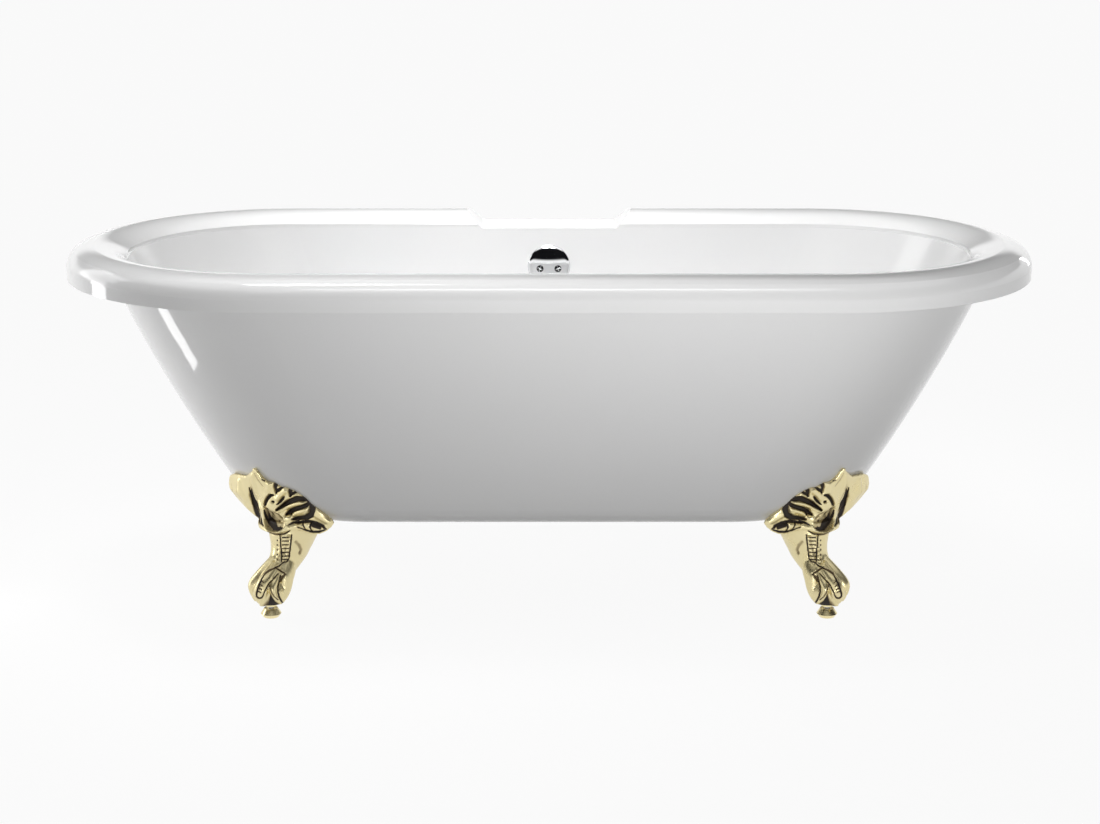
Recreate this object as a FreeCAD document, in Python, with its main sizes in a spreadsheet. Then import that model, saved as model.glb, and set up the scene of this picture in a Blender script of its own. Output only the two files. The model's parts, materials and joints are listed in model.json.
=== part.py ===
import FreeCAD, Part
import math
import os

import Sketcher
from FreeCAD import Placement, Rotation, Vector

# A double-ended, double-skinned roll-top bath on four cast claw feet, with an exposed waste.
# Frame: +X along the bath, +Y towards the tap ledge, +Z up, origin on the floor under the middle.

os.makedirs("parts", exist_ok=True)
doc = FreeCAD.newDocument("clawfoot_bath")
sheet = doc.addObject("Spreadsheet::Sheet", "Dims")

# ---------------------------------------------------------------- driving dimensions (mm, degrees)
dimensions = [
    # the rolled rim
    ("tubLength", 1700, "over the rolled rim"),
    ("tubWidth", 750, "over the rolled rim"),
    ("tubHeight", 630, "floor to the crest of the rim"),
    ("rimDepth", 55, "crest down to the edge of the turned-down lip"),
    ("lipBand", 21, "upright band of the lip"),
    ("crestInset", 49, "outer edge in to the crest"),
    ("rollWidth", 105, "outer edge in to the basin's mouth"),
    ("innerDrop", 20, "crest down to the basin's mouth"),
    ("shoulderAcross", 0.3, "where the rim's two outer arcs meet, as a share of the crest's inset"),
    ("shoulderUp", 0.72, "where the rim's two outer arcs meet, as a share of the lip's top up to the crest"),
    ("lowArcShare", 0.95, "radius of the lower of them, as a share of one arc's from lip to crest"),
    ("highArcShare", 2.2, "radius of the upper of them, as a share of one arc's from lip to crest"),
    ("basinWall", 6, "basin skin"),
    # the basin
    ("basinInsetLong", 23, "outer skin's underside in to the basin's floor, at each end"),
    ("basinInsetWide", 38, "outer skin's underside in to the basin's floor, at each side"),
    ("basinEndBelly", 12, "how far the sloping ends swell at half height"),
    ("basinSideBelly", 10, "how far the long sides swell at half height"),
    ("floorRound", 60, "rounding between the walls and the basin floor"),
    # the outer skin
    ("skirtInset", 75, "outer edge in to the top of the outer skin"),
    ("flangeRecess", 5, "lip edge up to the outer skin's flange"),
    ("skirtWall", 5, "outer skin"),
    ("skirtBaseLength", 1086, "outer skin at its underside, before the rounding"),
    ("skirtBaseWidth", 466, "outer skin at its underside, before the rounding"),
    ("skirtBelly", 12.5, "how far the sloping ends swell at half height"),
    ("baseRound", 30, "rounding between the outer skin and its underside"),
    ("baseHeight", 170, "floor to the underside"),
    ("bondGap", 3, "bonding bead between the flange and the lip"),
    # the boards that stiffen the skins
    ("boardThick", 19, "plywood under the basin"),
    ("boardGap", 3, "board edge to the flat of the underside"),
    ("ledgeThick", 10, "plywood under the tap ledge"),
    # the tap ledge
    ("ledgeLength", 252, "flat of the tap ledge"),
    ("ledgeDrop", 28, "crest down to the ledge"),
    ("ledgeSlope", 45, "slope of the ledge's ends"),
    # waste and overflow
    ("overflowDrop", 98, "crest down to the overflow's centre"),
    ("plateRadius", 40, "overflow plate"),
    ("plateDepth", 11, "overflow plate, wall to face"),
    ("plateWall", 2, "overflow plate"),
    ("plateScrewSpread", 16.7, "plate screws either side of the middle"),
    ("plateScrewDrop", 4.4, "plate screws below the plate's centre"),
    ("plateScrewRadius", 2.5, "plate screws"),
    ("plateScrewHead", 4.6, "plate screw heads"),
    ("neckRadius", 22, "overflow neck, outside"),
    ("neckWall", 3.5, "overflow neck"),
    ("neckClear", 2, "round the necks where they pass through the skins"),
    ("tubeRadius", 19.05, "waste tubes, outside, an inch and a half across"),
    ("tubeWall", 1.5, "waste tubes"),
    ("tubeClear", 0.2, "round the tubes in their sockets"),
    ("tubeInset", 45, "outer edge of the rim in to the upright tubes"),
    ("socketRadius", 25, "cast sockets, outside"),
    ("socketDepth", 26, "tube in its socket"),
    ("runHeight", 125, "floor to the level tube under the bath"),
    ("teeHalf", 46, "tee, centre to each end"),
    ("tailEnd", 20, "floor to the open end of the tail pipe"),
    ("castFlange", 5, "flanges of the waste castings"),
    ("washerThick", 3, "slip washers"),
    ("nutGrip", 12, "slip nut over its socket"),
    ("nutRadius", 32, "slip nuts over their corners"),
    ("nutLip", 3, "slip nut lip"),
    ("drainOffset", 80, "middle of the bath to the drain"),
    ("drainRadius", 36, "drain flange"),
    ("drainThick", 3, "drain flange"),
    ("drainNeck", 22.5, "drain neck, outside"),
    ("drainWall", 2.5, "drain neck"),
    ("drainReach", 20, "drain neck below the underside"),
    ("shoeRadius", 30, "drain shoe body"),
    ("shoeFlange", 38, "drain shoe flange"),
    ("gasketThick", 4, "rubber gaskets"),
    ("drainSealThick", 1.5, "seal under the drain flange"),
    ("spiderThick", 4, "drain spider and its hub"),
    # the toe-tap stopper
    ("stopperTravel", 9, "stopper, open to shut"),
    ("stopperRadius", 31, "stopper cap"),
    ("stopperDome", 8, "stopper cap height"),
    ("sealThick", 2.5, "stopper seal"),
    ("sealInset", 1, "stopper seal, in from the cap's edge"),
    ("plungerRadius", 3.5, "stopper plunger"),
    ("slideClear", 0.06, "running clearance of the sliding pieces"),
    ("restClear", 0.3, "gap between pieces that only just clear each other"),
    ("cartridgeRadius", 7, "stopper cartridge"),
    ("cartridgeLength", 28, "stopper cartridge"),
    # the claw feet, in their own frame: outwards, sideways and up from the floor contact
    ("footInsetLong", 57.5, "end of the underside in to the foot's floor contact"),
    ("footInsetWide", 21, "side of the underside in to the foot's floor contact"),
    ("footAngle", 50.5, "outward direction of the foot from the long axis"),
    ("castBase", 27, "floor to the underside of the casting"),
    ("stubDepth", 22.5, "half, outwards, of the casting's base"),
    ("stubWidth", 21, "half, sideways, of the casting's base"),
    ("ballHeight", 44, "floor to the middle of the claw's ball"),
    ("ballRadius", 30, "claw's ball"),
    ("clawHeight", 64, "floor to the knuckles"),
    ("clawDepth", 44, "half, outwards, at the knuckles"),
    ("clawWidth", 35, "half, sideways, at the knuckles"),
    ("heelHeight", 88, "floor to the top of the claw"),
    ("heelBack", 30, "top of the claw, in from the contact"),
    ("heelDepth", 38, "half, outwards, at the top of the claw"),
    ("heelWidth", 29, "half, sideways, at the top of the claw"),
    ("ankleHeight", 114, "floor to the narrowest of the leg"),
    ("ankleBack", 49, "narrowest of the leg, in from the contact"),
    ("ankleDepth", 35, "half, outwards, at the narrowest"),
    ("ankleWidth", 27, "half, sideways, at the narrowest"),
    ("calfHeight", 150, "floor to the top of the leg"),
    ("calfBack", 54, "top of the leg, in from the contact"),
    ("calfDepth", 47, "half, outwards, at the top of the leg"),
    ("calfWidth", 39, "half, sideways, at the top of the leg"),
    ("toeDepth", 13, "half, outwards, of a toe"),
    ("toeWidth", 11, "half, sideways, of a toe"),
    ("toeTall", 26, "half, upwards, of a toe"),
    ("toeReach", 36, "middle toe, out from the contact"),
    ("sideToeReach", 20, "side toes, out from the contact"),
    ("toeSpread", 24, "side toes from the middle toe"),
    ("kneeHeight", 186, "floor to the middle of the hood"),
    ("kneeBack", 26, "middle of the hood, in from the contact"),
    ("kneeReach", 38, "half, outwards, of the hood"),
    ("kneeWidth", 42, "half, sideways, of the hood"),
    ("kneeTall", 40, "half, upwards, of the hood"),
    ("collarHeight", 155, "floor to the collar under the hood"),
    ("collarBack", 18, "collar, in from the contact"),
    ("collarRadius", 24, "collar ring"),
    ("collarBead", 4, "collar ring"),
    ("leafThick", 9, "leaf bracket on the outer skin"),
    ("leafTipSide", 19, "leaf tip, towards the bath's end"),
    ("leafTipHeight", 266, "floor to the leaf tip"),
    ("leafEndSide", 164, "leaf corner, towards the bath's end"),
    ("leafEndHeight", 226, "floor to the leaf corner"),
    ("leafEndDrop", 40, "edge below the leaf corner"),
    ("leafNoseSide", 101, "leaf nose, towards the bath's middle"),
    ("leafNoseHeight", 184, "floor to the leaf nose"),
    ("leafFootHeight", 174, "floor to the lower edge of the leaf"),
    ("leafFootSide", 60, "lower edge of the leaf, either side of the leg"),
    ("scrollSide", 76, "scroll by the leaf nose"),
    ("scrollHeight", 172, "floor to the scroll"),
    ("scrollBack", 44, "scroll, in from the contact"),
    ("scrollLength", 28, "half, along the scroll"),
    ("scrollRadius", 14, "half, across the scroll"),
    ("skinClear", 0.3, "leaf bracket to the outer skin"),
    ("tongueThick", 12, "flange under the bath"),
    ("tongueWidth", 46, "flange under the bath"),
    ("tongueBack", 198, "end of the flange, in from the contact"),
    ("boltNear", 140, "near bolt, in from the contact"),
    ("boltPitch", 35, "between a foot's two bolts"),
    ("boltRadius", 4, "foot bolts"),
    ("boltClear", 0.5, "round the foot bolts"),
    ("boltHead", 7.5, "foot bolt heads over their corners"),
    ("boltHeadTall", 5.5, "foot bolt heads"),
    ("boltWasher", 1.6, "washers"),
    ("boltWasherRadius", 9, "washers"),
    ("insertRadius", 6, "threaded inserts in the board"),
    ("insertLength", 14, "threaded inserts in the board"),
    # the levellers under the feet
    ("glideRadius", 18, "leveller glide"),
    ("glideTall", 16, "leveller glide"),
    ("glideFace", 13, "floor face of the glide"),
    ("glideRim", 6.4, "floor to the widest of the glide"),
    ("studRadius", 6, "leveller stud"),
    ("studSeat", 6, "floor to the foot of the stud's socket"),
    ("studTop", 74, "floor to the top of the stud"),
    ("jamNutRadius", 11, "jam nuts over their corners"),
    ("jamNutTall", 7, "jam nuts"),
]
for row, (alias, value, note) in enumerate(dimensions, 1):
    sheet.set("A%d" % row, note)
    sheet.set("B%d" % row, str(value))
    sheet.setAlias("B%d" % row, alias)
doc.recompute()


class Size:
    """A length or angle held both as an expression over the sheet and as its present value."""

    def __init__(self, text, value):
        self.text = text
        self.value = value

    def joined(self, sign, other, value):
        return Size("(%s %s %s)" % (self.text, sign, other.text), value)

    def __add__(self, other):
        other = sized(other)
        return self.joined("+", other, self.value + other.value)

    def __radd__(self, other):
        return sized(other) + self

    def __sub__(self, other):
        other = sized(other)
        return self.joined("-", other, self.value - other.value)

    def __rsub__(self, other):
        return sized(other) - self

    def __mul__(self, other):
        other = sized(other)
        return self.joined("*", other, self.value * other.value)

    def __rmul__(self, other):
        return sized(other) * self

    def __truediv__(self, other):
        other = sized(other)
        return self.joined("/", other, self.value / other.value)

    def __neg__(self):
        return sized(0) - self


def sized(number):
    return number if isinstance(number, Size) else Size("%.10g" % number, float(number))


def sine(angle):
    return Size("sin(%s * 1 deg)" % angle.text, math.sin(math.radians(angle.value)))


def cosine(angle):
    return Size("cos(%s * 1 deg)" % angle.text, math.cos(math.radians(angle.value)))


def arctangent(slope):
    return Size("(atan(%s) / 1 deg)" % slope.text, math.degrees(math.atan(slope.value)))


class Cells:
    """The sheet's cells by alias."""

    def __getattr__(self, alias):
        return Size("Dims." + alias, float(sheet.get(alias)))


d = Cells()


# ---------------------------------------------------------------- drawing helpers
def bind(thing, **sizes):
    """Ties properties to the sheet; a double underscore in a name stands for the path's dot."""
    for path, size in sizes.items():
        thing.setExpression(path.replace("__", "."), sized(size).text)


turns = {
    "z": Rotation(),
    "y": Rotation(Vector(1, 0, 0), -90),
    "x": Rotation(Vector(0, 1, 0), 90),
}


def place(thing, x=0, y=0, z=0, axis="z"):
    """Puts an object at a point, its own Z along the named axis."""
    thing.Placement = Placement(Vector(), turns[axis])
    bind(thing, Placement__Base__x=x, Placement__Base__y=y, Placement__Base__z=z)
    return thing


def primitive(kind, label, **sizes):
    thing = doc.addObject("Part::" + kind, label)
    bind(thing, **sizes)
    return thing


def cylinder(label, radius, height, x=0, y=0, z=0, axis="z"):
    return place(primitive("Cylinder", label, Radius=radius, Height=height), x, y, z, axis)


def prism(label, corner, height, x=0, y=0, z=0, axis="z"):
    """A hexagonal bar, measured to its corners."""
    thing = primitive("Prism", label, Circumradius=corner, Height=height)
    thing.Polygon = 6
    return place(thing, x, y, z, axis)


def cut(label, base, *tools):
    thing = doc.addObject("Part::Cut", label)
    thing.Base = base
    thing.Tool = tools[0] if len(tools) == 1 else fuse(label + "_tools", *tools)
    return thing


def fuse(label, *shapes):
    thing = doc.addObject("Part::MultiFuse", label)
    thing.Shapes = list(shapes)
    return thing


def common(label, base, tool):
    thing = doc.addObject("Part::Common", label)
    thing.Base = base
    thing.Tool = tool
    return thing


def group(label, shapes):
    thing = doc.addObject("Part::Compound", label)
    thing.Links = list(shapes)
    return thing


def mirrored(label, source, normal):
    thing = doc.addObject("Part::Mirroring", label)
    thing.Source = source
    thing.Normal = normal
    return thing


def newBody(label):
    return doc.addObject("PartDesign::Body", label)


def newSketch(body, name, role, height=0):
    """A sketch on one of the body's own origin planes, moved along the plane's normal."""
    sketch = body.newObject("Sketcher::SketchObject", name)
    plane = [feature for feature in body.Origin.OriginFeatures if feature.Role == role][0]
    sketch.AttachmentSupport = [(plane, "")]
    sketch.MapMode = "FlatFace"
    bind(sketch, AttachmentOffset__Base__z=height)
    return sketch


def dimension(sketch, kind, *arguments):
    """Adds a dimension whose last argument is a Size, and ties it to the sheet."""
    size = sized(arguments[-1])
    index = sketch.addConstraint(Sketcher.Constraint(kind, *arguments[:-1], size.value))
    sketch.setExpression("Constraints[%d]" % index, size.text)


def arcThrough(start, end, radius, leftTurn):
    """The shorter arc of a radius between two points, turning left or right on the way."""
    chord = end - start
    side = Vector(-chord.y, chord.x, 0).normalize()
    if not leftTurn:
        side = side * -1
    half = chord.Length / 2
    reach = math.sqrt(max(radius * radius - half * half, 0))
    middle = start + chord * 0.5 + side * (reach - radius)
    return Part.Arc(start, middle, end)


def addOutline(sketch, points, arcs=None):
    """A closed outline. arcs[i] bends the stretch that leaves point i: ("radius" or "centreX",
    size, turns left); every other stretch is straight."""
    arcs = arcs or {}
    points = [(sized(x), sized(y)) for x, y in points]
    corners = [Vector(x.value, y.value, 0) for x, y in points]
    ends = []
    for i, start in enumerate(corners):
        end = corners[(i + 1) % len(corners)]
        if i in arcs:
            kind, size, leftTurn = arcs[i]
            radius = size.value if kind == "radius" else (end - start).Length / 2
            index = sketch.addGeometry(arcThrough(start, end, radius, leftTurn))
            ends.append((index, 1, 2) if leftTurn else (index, 2, 1))
        else:
            index = sketch.addGeometry(Part.LineSegment(start, end))
            ends.append((index, 1, 2))
    for i, (index, first, last) in enumerate(ends):
        following, start = ends[(i + 1) % len(ends)][:2]
        sketch.addConstraint(Sketcher.Constraint("Coincident", index, last, following, start))
    for (index, first, last), (x, y) in zip(ends, points):
        dimension(sketch, "DistanceX", -1, 1, index, first, x)
        dimension(sketch, "DistanceY", -1, 1, index, first, y)
    for i, (kind, size, leftTurn) in arcs.items():
        if kind == "radius":
            dimension(sketch, "Radius", ends[i][0], size)
        else:
            dimension(sketch, "DistanceX", -1, 1, ends[i][0], 3, size)


def addStadium(sketch, halfLength, halfWidth):
    """Two straight sides joined by two half circles."""
    centre = halfLength - halfWidth
    corners = [(-centre, -halfWidth), (centre, -halfWidth), (centre, halfWidth), (-centre, halfWidth)]
    addOutline(sketch, corners, {1: ("centreX", centre, True), 3: ("centreX", -centre, True)})


def pad(body, sketch, length):
    feature = body.newObject("PartDesign::Pad", body.Label + "_pad")
    feature.Profile = sketch
    bind(feature, Length=length)
    return feature


def stadiumPad(label, halfLength, halfWidth, bottom, tall, inner=None):
    """A level plate, or with an inner half length and half width a level ring."""
    body = newBody(label)
    sketch = newSketch(body, label + "_outline", "XY_Plane", bottom)
    addStadium(sketch, halfLength, halfWidth)
    if inner:
        addStadium(sketch, *inner)
    pad(body, sketch, tall)
    return body


def stadiumLoft(label, *runs):
    """A solid through level stadiums, each given as height, half length and half width. Each run
    of stadiums is one smooth stretch, and starts where the run before it ends."""
    body = newBody(label)
    for run, sections in enumerate(runs):
        sketches = []
        for number, (height, halfLength, halfWidth) in enumerate(sections):
            sketch = newSketch(body, "%s_level%d_%d" % (label, run, number), "XY_Plane", height)
            addStadium(sketch, halfLength, halfWidth)
            sketches.append(sketch)
        loft = body.newObject("PartDesign::AdditiveLoft", "%s_loft%d" % (label, run))
        loft.Profile = sketches[0]
        loft.Sections = sketches[1:]
    return body


def turned(label, points, arcs=None, x=0, y=0, z=0, axis="z"):
    """A round piece: its half profile as radius and height, turned about its own Z."""
    body = newBody(label)
    sketch = newSketch(body, label + "_profile", "XZ_Plane")
    addOutline(sketch, points, arcs)
    feature = body.newObject("PartDesign::Revolution", label + "_turn")
    feature.Profile = sketch
    feature.ReferenceAxis = (sketch, ["V_Axis"])
    feature.Angle = 360
    return place(body, x, y, z, axis)


def ring(label, outer, inner, tall, x=0, y=0, z=0, axis="z"):
    corners = [(inner, 0), (outer, 0), (outer, tall), (inner, tall)]
    return turned(label, corners, None, x, y, z, axis)


def sidePad(label, points, near, length):
    """An upright outline, seen along Y as X and height, carried back from near."""
    body = newBody(label)
    sketch = newSketch(body, label + "_outline", "XZ_Plane", -near)
    addOutline(sketch, points)
    feature = pad(body, sketch, length)
    feature.Reversed = True
    return body


# ---------------------------------------------------------------- shared levels and outlines
halfLength = d.tubLength / 2
halfWidth = d.tubWidth / 2
crest = d.tubHeight
mouth = crest - d.innerDrop
lipEdge = crest - d.rimDepth
flangeLevel = lipEdge + d.flangeRecess
underside = d.baseHeight
boardBottom = underside + d.skirtWall
basinUnder = boardBottom + d.boardThick
basinFloor = basinUnder + d.basinWall
ledge = crest - d.ledgeDrop
washerLevel = underside - d.tongueThick - d.boltWasher
overcut = 1  # how far a cutting shape runs past what it cuts
roundingAngles = (90, 60, 30, 0)  # where a rounding's sections lie on its quarter circle
wallSections = 4


def tapered(top, base, belly, part):
    """A half length or half width, part of the way down from the top to the base."""
    return top + (base - top) * part + belly * (4 * (part * (1 - part)))


def skirtSection(height, grow=0):
    """The outer skin's outline at a height, grown all round."""
    part = (flangeLevel - height) / (flangeLevel - underside)
    long = tapered(halfLength - d.skirtInset, d.skirtBaseLength / 2, d.skirtBelly, part)
    wide = tapered(halfWidth - d.skirtInset, d.skirtBaseWidth / 2, 0, part)
    return long + grow, wide + grow


def basinSection(height, grow=0):
    """The basin's inner outline at a height, grown all round."""
    part = (mouth - height) / (mouth - basinFloor)
    long = tapered(halfLength - d.rollWidth, d.skirtBaseLength / 2 - d.basinInsetLong, d.basinEndBelly, part)
    wide = tapered(halfWidth - d.rollWidth, d.skirtBaseWidth / 2 - d.basinInsetWide, d.basinSideBelly, part)
    return long + grow, wide + grow


def vessel(label, outline, bottom, top, rounding, grow=0, sink=0):
    """A filled vessel whose floor meets its walls in a rounding."""
    foot = []
    for angle in roundingAngles:
        height = bottom + rounding * (1 - math.sin(math.radians(angle)))
        long, wide = outline(height, grow)
        inset = rounding * (1 - math.cos(math.radians(angle)))
        foot.append((height - sink, long - inset, wide - inset))
    wall = []
    for step in range(wallSections):
        height = bottom + rounding + (top - bottom - rounding) * (step / (wallSections - 1))
        wall.append((height - sink, *outline(height, grow)))
    return stadiumLoft(label, foot, wall)


def rimSweep(label, points, arcs):
    """A rim section, as inset and height, carried round the bath's outline."""
    body = newBody(label)
    path = newSketch(body, label + "_path", "XY_Plane")
    straight = halfLength - halfWidth
    corners = [
        (0, -halfWidth),
        (straight, -halfWidth),
        (straight, halfWidth),
        (-straight, halfWidth),
        (-straight, -halfWidth),
    ]
    addOutline(path, corners, {1: ("centreX", straight, True), 3: ("centreX", -straight, True)})
    section = newSketch(body, label + "_section", "YZ_Plane")
    addOutline(section, [(inset - halfWidth, height) for inset, height in points], arcs)
    sweep = body.newObject("PartDesign::AdditivePipe", label + "_sweep")
    sweep.Profile = section
    sweep.Spine = (path, ["Edge%d" % (number + 1) for number in range(len(corners))])
    return body


# ---------------------------------------------------------------- basin with rolled rim and tap ledge
lipTop = lipEdge + d.lipBand
outerArc = (d.crestInset * d.crestInset + (crest - lipTop) * (crest - lipTop)) / (2 * d.crestInset)
innerRun = d.rollWidth - d.crestInset
innerArc = (innerRun * innerRun + d.innerDrop * d.innerDrop) / (2 * d.innerDrop)
shoulderInset = d.crestInset * d.shoulderAcross
shoulderRise = (crest - lipTop) * d.shoulderUp
rimTop = [
    (0, lipEdge),
    (0, lipTop),
    (shoulderInset, lipTop + shoulderRise),
    (d.crestInset, crest),
    (d.rollWidth, mouth),
]
rimArcs = {
    1: ("radius", outerArc * d.lowArcShare, False),
    2: ("radius", outerArc * d.highArcShare, False),
    3: ("radius", innerArc, False),
}
rimInside = [
    (d.rollWidth - d.basinWall, mouth - d.basinWall),
    (d.crestInset, crest - d.basinWall),
    (shoulderInset + d.basinWall, lipTop + shoulderRise - d.basinWall),
    (d.basinWall, lipTop),
    (d.basinWall, lipEdge),
]
roll = rimSweep("roll", rimTop + [(d.rollWidth, mouth - d.basinWall)] + rimInside, rimArcs)
rollFilled = rimSweep("roll_filled", rimTop + [(d.rollWidth, lipEdge)], rimArcs)

basinCavity = vessel("basin_cavity", basinSection, basinFloor, mouth, d.floorRound)
basinOutside = vessel(
    "basin_outside", basinSection, basinFloor, mouth, d.floorRound, d.basinWall, d.basinWall
)

ledgeHalf = d.ledgeLength / 2
ledgeRun = sine(d.ledgeSlope) / cosine(d.ledgeSlope)
ledgeMitre = sine(d.ledgeSlope / 2) / cosine(d.ledgeSlope / 2)
notchTall = d.ledgeDrop + d.basinWall
notchNear = halfWidth - d.rollWidth - d.basinWall
notchLength = d.rollWidth + 2 * d.basinWall


def ledgeOutline(level, half):
    """The ledge's trapezium above a level, open upwards past the crest."""
    top = level + notchTall + d.basinWall
    reach = half + (notchTall + d.basinWall) / ledgeRun
    return [(-half, level), (half, level), (reach, top), (-reach, top)]


notch = sidePad("ledge_notch", ledgeOutline(ledge, ledgeHalf), notchNear, notchLength)
ledgeBlock = sidePad(
    "ledge_block",
    ledgeOutline(ledge - d.basinWall, ledgeHalf - d.basinWall * ledgeMitre),
    notchNear,
    notchLength,
)
ledgeSheet = cut("ledge_sheet", common("ledge_filled", rollFilled, ledgeBlock), notch)
openRoll = cut("open_roll", fuse("rim_and_walls", roll, basinOutside), notch, basinCavity)

# The overflow's own frame starts on the basin's inner wall and runs outwards, square to that wall.
overflowLevel = crest - d.overflowDrop
overflowWall = basinSection(overflowLevel)[1]
slopeReach = 1
wallAbove = basinSection(overflowLevel + slopeReach)[1]
wallBelow = basinSection(overflowLevel - slopeReach)[1]
overflowTilt = arctangent((wallAbove - wallBelow) / (2 * slopeReach))
tiltSine = sine(overflowTilt)
tiltCosine = cosine(overflowTilt)
tubeOffset = halfWidth - d.tubeInset


def onOverflow(thing, along, across=0, drop=0):
    """Puts an object in the overflow's frame: along the axis, across the bath, down the wall."""
    turn = 90 + overflowTilt
    thing.Placement = Placement(Vector(), Rotation(Vector(-1, 0, 0), turn.value))
    bind(
        thing,
        Placement__Base__x=across,
        Placement__Base__y=overflowWall + along * tiltCosine - drop * tiltSine,
        Placement__Base__z=overflowLevel - along * tiltSine - drop * tiltCosine,
        Placement__Rotation__Angle=turn,
    )
    return thing


def overflowRod(label, radius, start, end, across=0, drop=0):
    rod = primitive("Cylinder", label, Radius=radius, Height=sized(end) - start)
    return onOverflow(rod, sized(start), across, drop)


skirtHalfWidth = skirtSection(overflowLevel)[1]
flangeStand = skirtHalfWidth - overflowWall + d.gasketThick
tubeStand = (tubeOffset - overflowWall) / tiltCosine
overflowHole = overflowRod("overflow_hole", d.neckRadius + d.neckClear, -d.neckRadius, flangeStand)
drainHole = cylinder(
    "drain_hole",
    d.drainNeck + d.neckClear,
    basinFloor - underside + 2 * d.basinWall,
    0,
    d.drainOffset,
    underside - d.basinWall,
)
basinShell = cut("basin_shell", fuse("basin_with_ledge", openRoll, ledgeSheet), overflowHole, drainHole)

# ---------------------------------------------------------------- the outer skin, its bond and the boards
skirtSolid = vessel("skirt_solid", skirtSection, underside, flangeLevel, d.baseRound)
skirtHollow = vessel(
    "skirt_hollow", skirtSection, underside, flangeLevel, d.baseRound, -d.skirtWall, -d.skirtWall
)
flangeReach = d.basinWall + d.bondGap
flangeInner = skirtSection(flangeLevel, -d.skirtWall)
skirtFlange = stadiumPad(
    "skirt_flange",
    halfLength - flangeReach,
    halfWidth - flangeReach,
    flangeLevel,
    d.skirtWall,
    flangeInner,
)


footX = d.skirtBaseLength / 2 - d.footInsetLong
footY = d.skirtBaseWidth / 2 - d.footInsetWide


def cornerPoint(out, sideX, sideY):
    """A point of one foot's frame, straight outwards from its floor contact."""
    return sideX * (footX + out * cosine(d.footAngle)), sideY * (footY + out * sine(d.footAngle))


corners = [(-1, -1, "front_left"), (1, -1, "front_right"), (-1, 1, "back_left"), (1, 1, "back_right")]
boltSpots = []
for sideX, sideY, name in corners:
    for reach in (d.boltNear, d.boltNear + d.boltPitch):
        boltSpots.append(cornerPoint(-reach, sideX, sideY))

boltHoleTall = d.tongueThick + 2 * d.skirtWall
boltHoles = [
    cylinder("bolt_hole%d" % number, d.boltRadius + d.boltClear, boltHoleTall, x, y, washerLevel)
    for number, (x, y) in enumerate(boltSpots)
]
outerShell = cut(
    "outer_shell",
    fuse("skirt_with_flange", skirtSolid, skirtFlange),
    skirtHollow,
    overflowHole,
    drainHole,
    *boltHoles,
)
rimBond = stadiumPad(
    "rim_bond",
    halfLength - d.basinWall,
    halfWidth - d.basinWall,
    flangeLevel,
    d.skirtWall,
    (halfLength - flangeReach, halfWidth - flangeReach),
)
boardInset = d.baseRound + d.skirtWall + d.boardGap
boardPlate = stadiumPad(
    "board_plate",
    d.skirtBaseLength / 2 - boardInset,
    d.skirtBaseWidth / 2 - boardInset,
    boardBottom,
    d.boardThick,
)
insertHoles = [
    cylinder("insert_hole%d" % number, d.insertRadius, d.boardThick, x, y, boardBottom)
    for number, (x, y) in enumerate(boltSpots)
]
baseBoard = cut("base_board", boardPlate, drainHole, *insertHoles)

ledgeBoardHalf = ledgeHalf - d.basinWall
ledgeBoardDepth = d.rollWidth - 2 * d.basinWall - 2 * d.boardGap
ledgeBoard = place(
    primitive(
        "Box", "tap_ledge_board", Length=2 * ledgeBoardHalf, Width=ledgeBoardDepth, Height=d.ledgeThick
    ),
    -ledgeBoardHalf,
    halfWidth - d.basinWall - d.boardGap - ledgeBoardDepth,
    ledge - d.basinWall - d.ledgeThick,
)

# ---------------------------------------------------------------- the claw feet
footTurn = 180 + d.footAngle


def atFoot(thing):
    """Puts an object drawn in a foot's frame (X outwards, Y sideways) under the front left corner."""
    thing.Placement = Placement(Vector(), Rotation(Vector(0, 0, 1), footTurn.value))
    bind(
        thing,
        Placement__Base__x=-footX,
        Placement__Base__y=-footY,
        Placement__Rotation__Angle=footTurn,
    )
    return thing


def ellipse(label, height, back, depth, width):
    """A level oval of the leg, its long axis outwards."""
    curve = primitive("Ellipse", label, MajorRadius=depth, MinorRadius=width)
    return place(curve, -sized(back), 0, height)


def ellipsoid(label, out, side, height, depth, width, tall):
    """A rounded lump: half sizes outwards, sideways and upwards."""
    lump = primitive("Ellipsoid", label, Radius1=tall, Radius2=depth, Radius3=width)
    return place(lump, out, side, height)


def loft(label, curves):
    solid = doc.addObject("Part::Loft", label)
    solid.Sections = curves
    solid.Solid = True
    return solid


legRoot = underside + d.kneeTall / 2
leg = loft("leg", [
    ellipse("leg_base", d.castBase, 0, d.stubDepth, d.stubWidth),
    ellipse("leg_claw", d.clawHeight, 0, d.clawDepth, d.clawWidth),
    ellipse("leg_heel", d.heelHeight, d.heelBack, d.heelDepth, d.heelWidth),
    ellipse("leg_ankle", d.ankleHeight, d.ankleBack, d.ankleDepth, d.ankleWidth),
    ellipse("leg_calf", d.calfHeight, d.calfBack, d.calfDepth, d.calfWidth),
    ellipse("leg_root", legRoot, d.calfBack, d.calfDepth, d.calfWidth),
])
ball = place(primitive("Sphere", "claw_ball", Radius=d.ballRadius), 0, 0, d.ballHeight)
toes = []
toeLevel = d.clawHeight - d.toeDepth
for number, (side, reach) in enumerate(((-1, d.sideToeReach), (0, d.toeReach), (1, d.sideToeReach))):
    toes.append(ellipsoid("toe%d" % number, reach, d.toeSpread * side, toeLevel,
                          d.toeDepth, d.toeWidth, d.toeTall))
hood = ellipsoid("hood", -d.kneeBack, 0, d.kneeHeight, d.kneeReach, d.kneeWidth, d.kneeTall)
collar = place(
    primitive("Torus", "collar", Radius1=d.collarRadius, Radius2=d.collarBead),
    -d.collarBack, 0, d.collarHeight,
)
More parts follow.
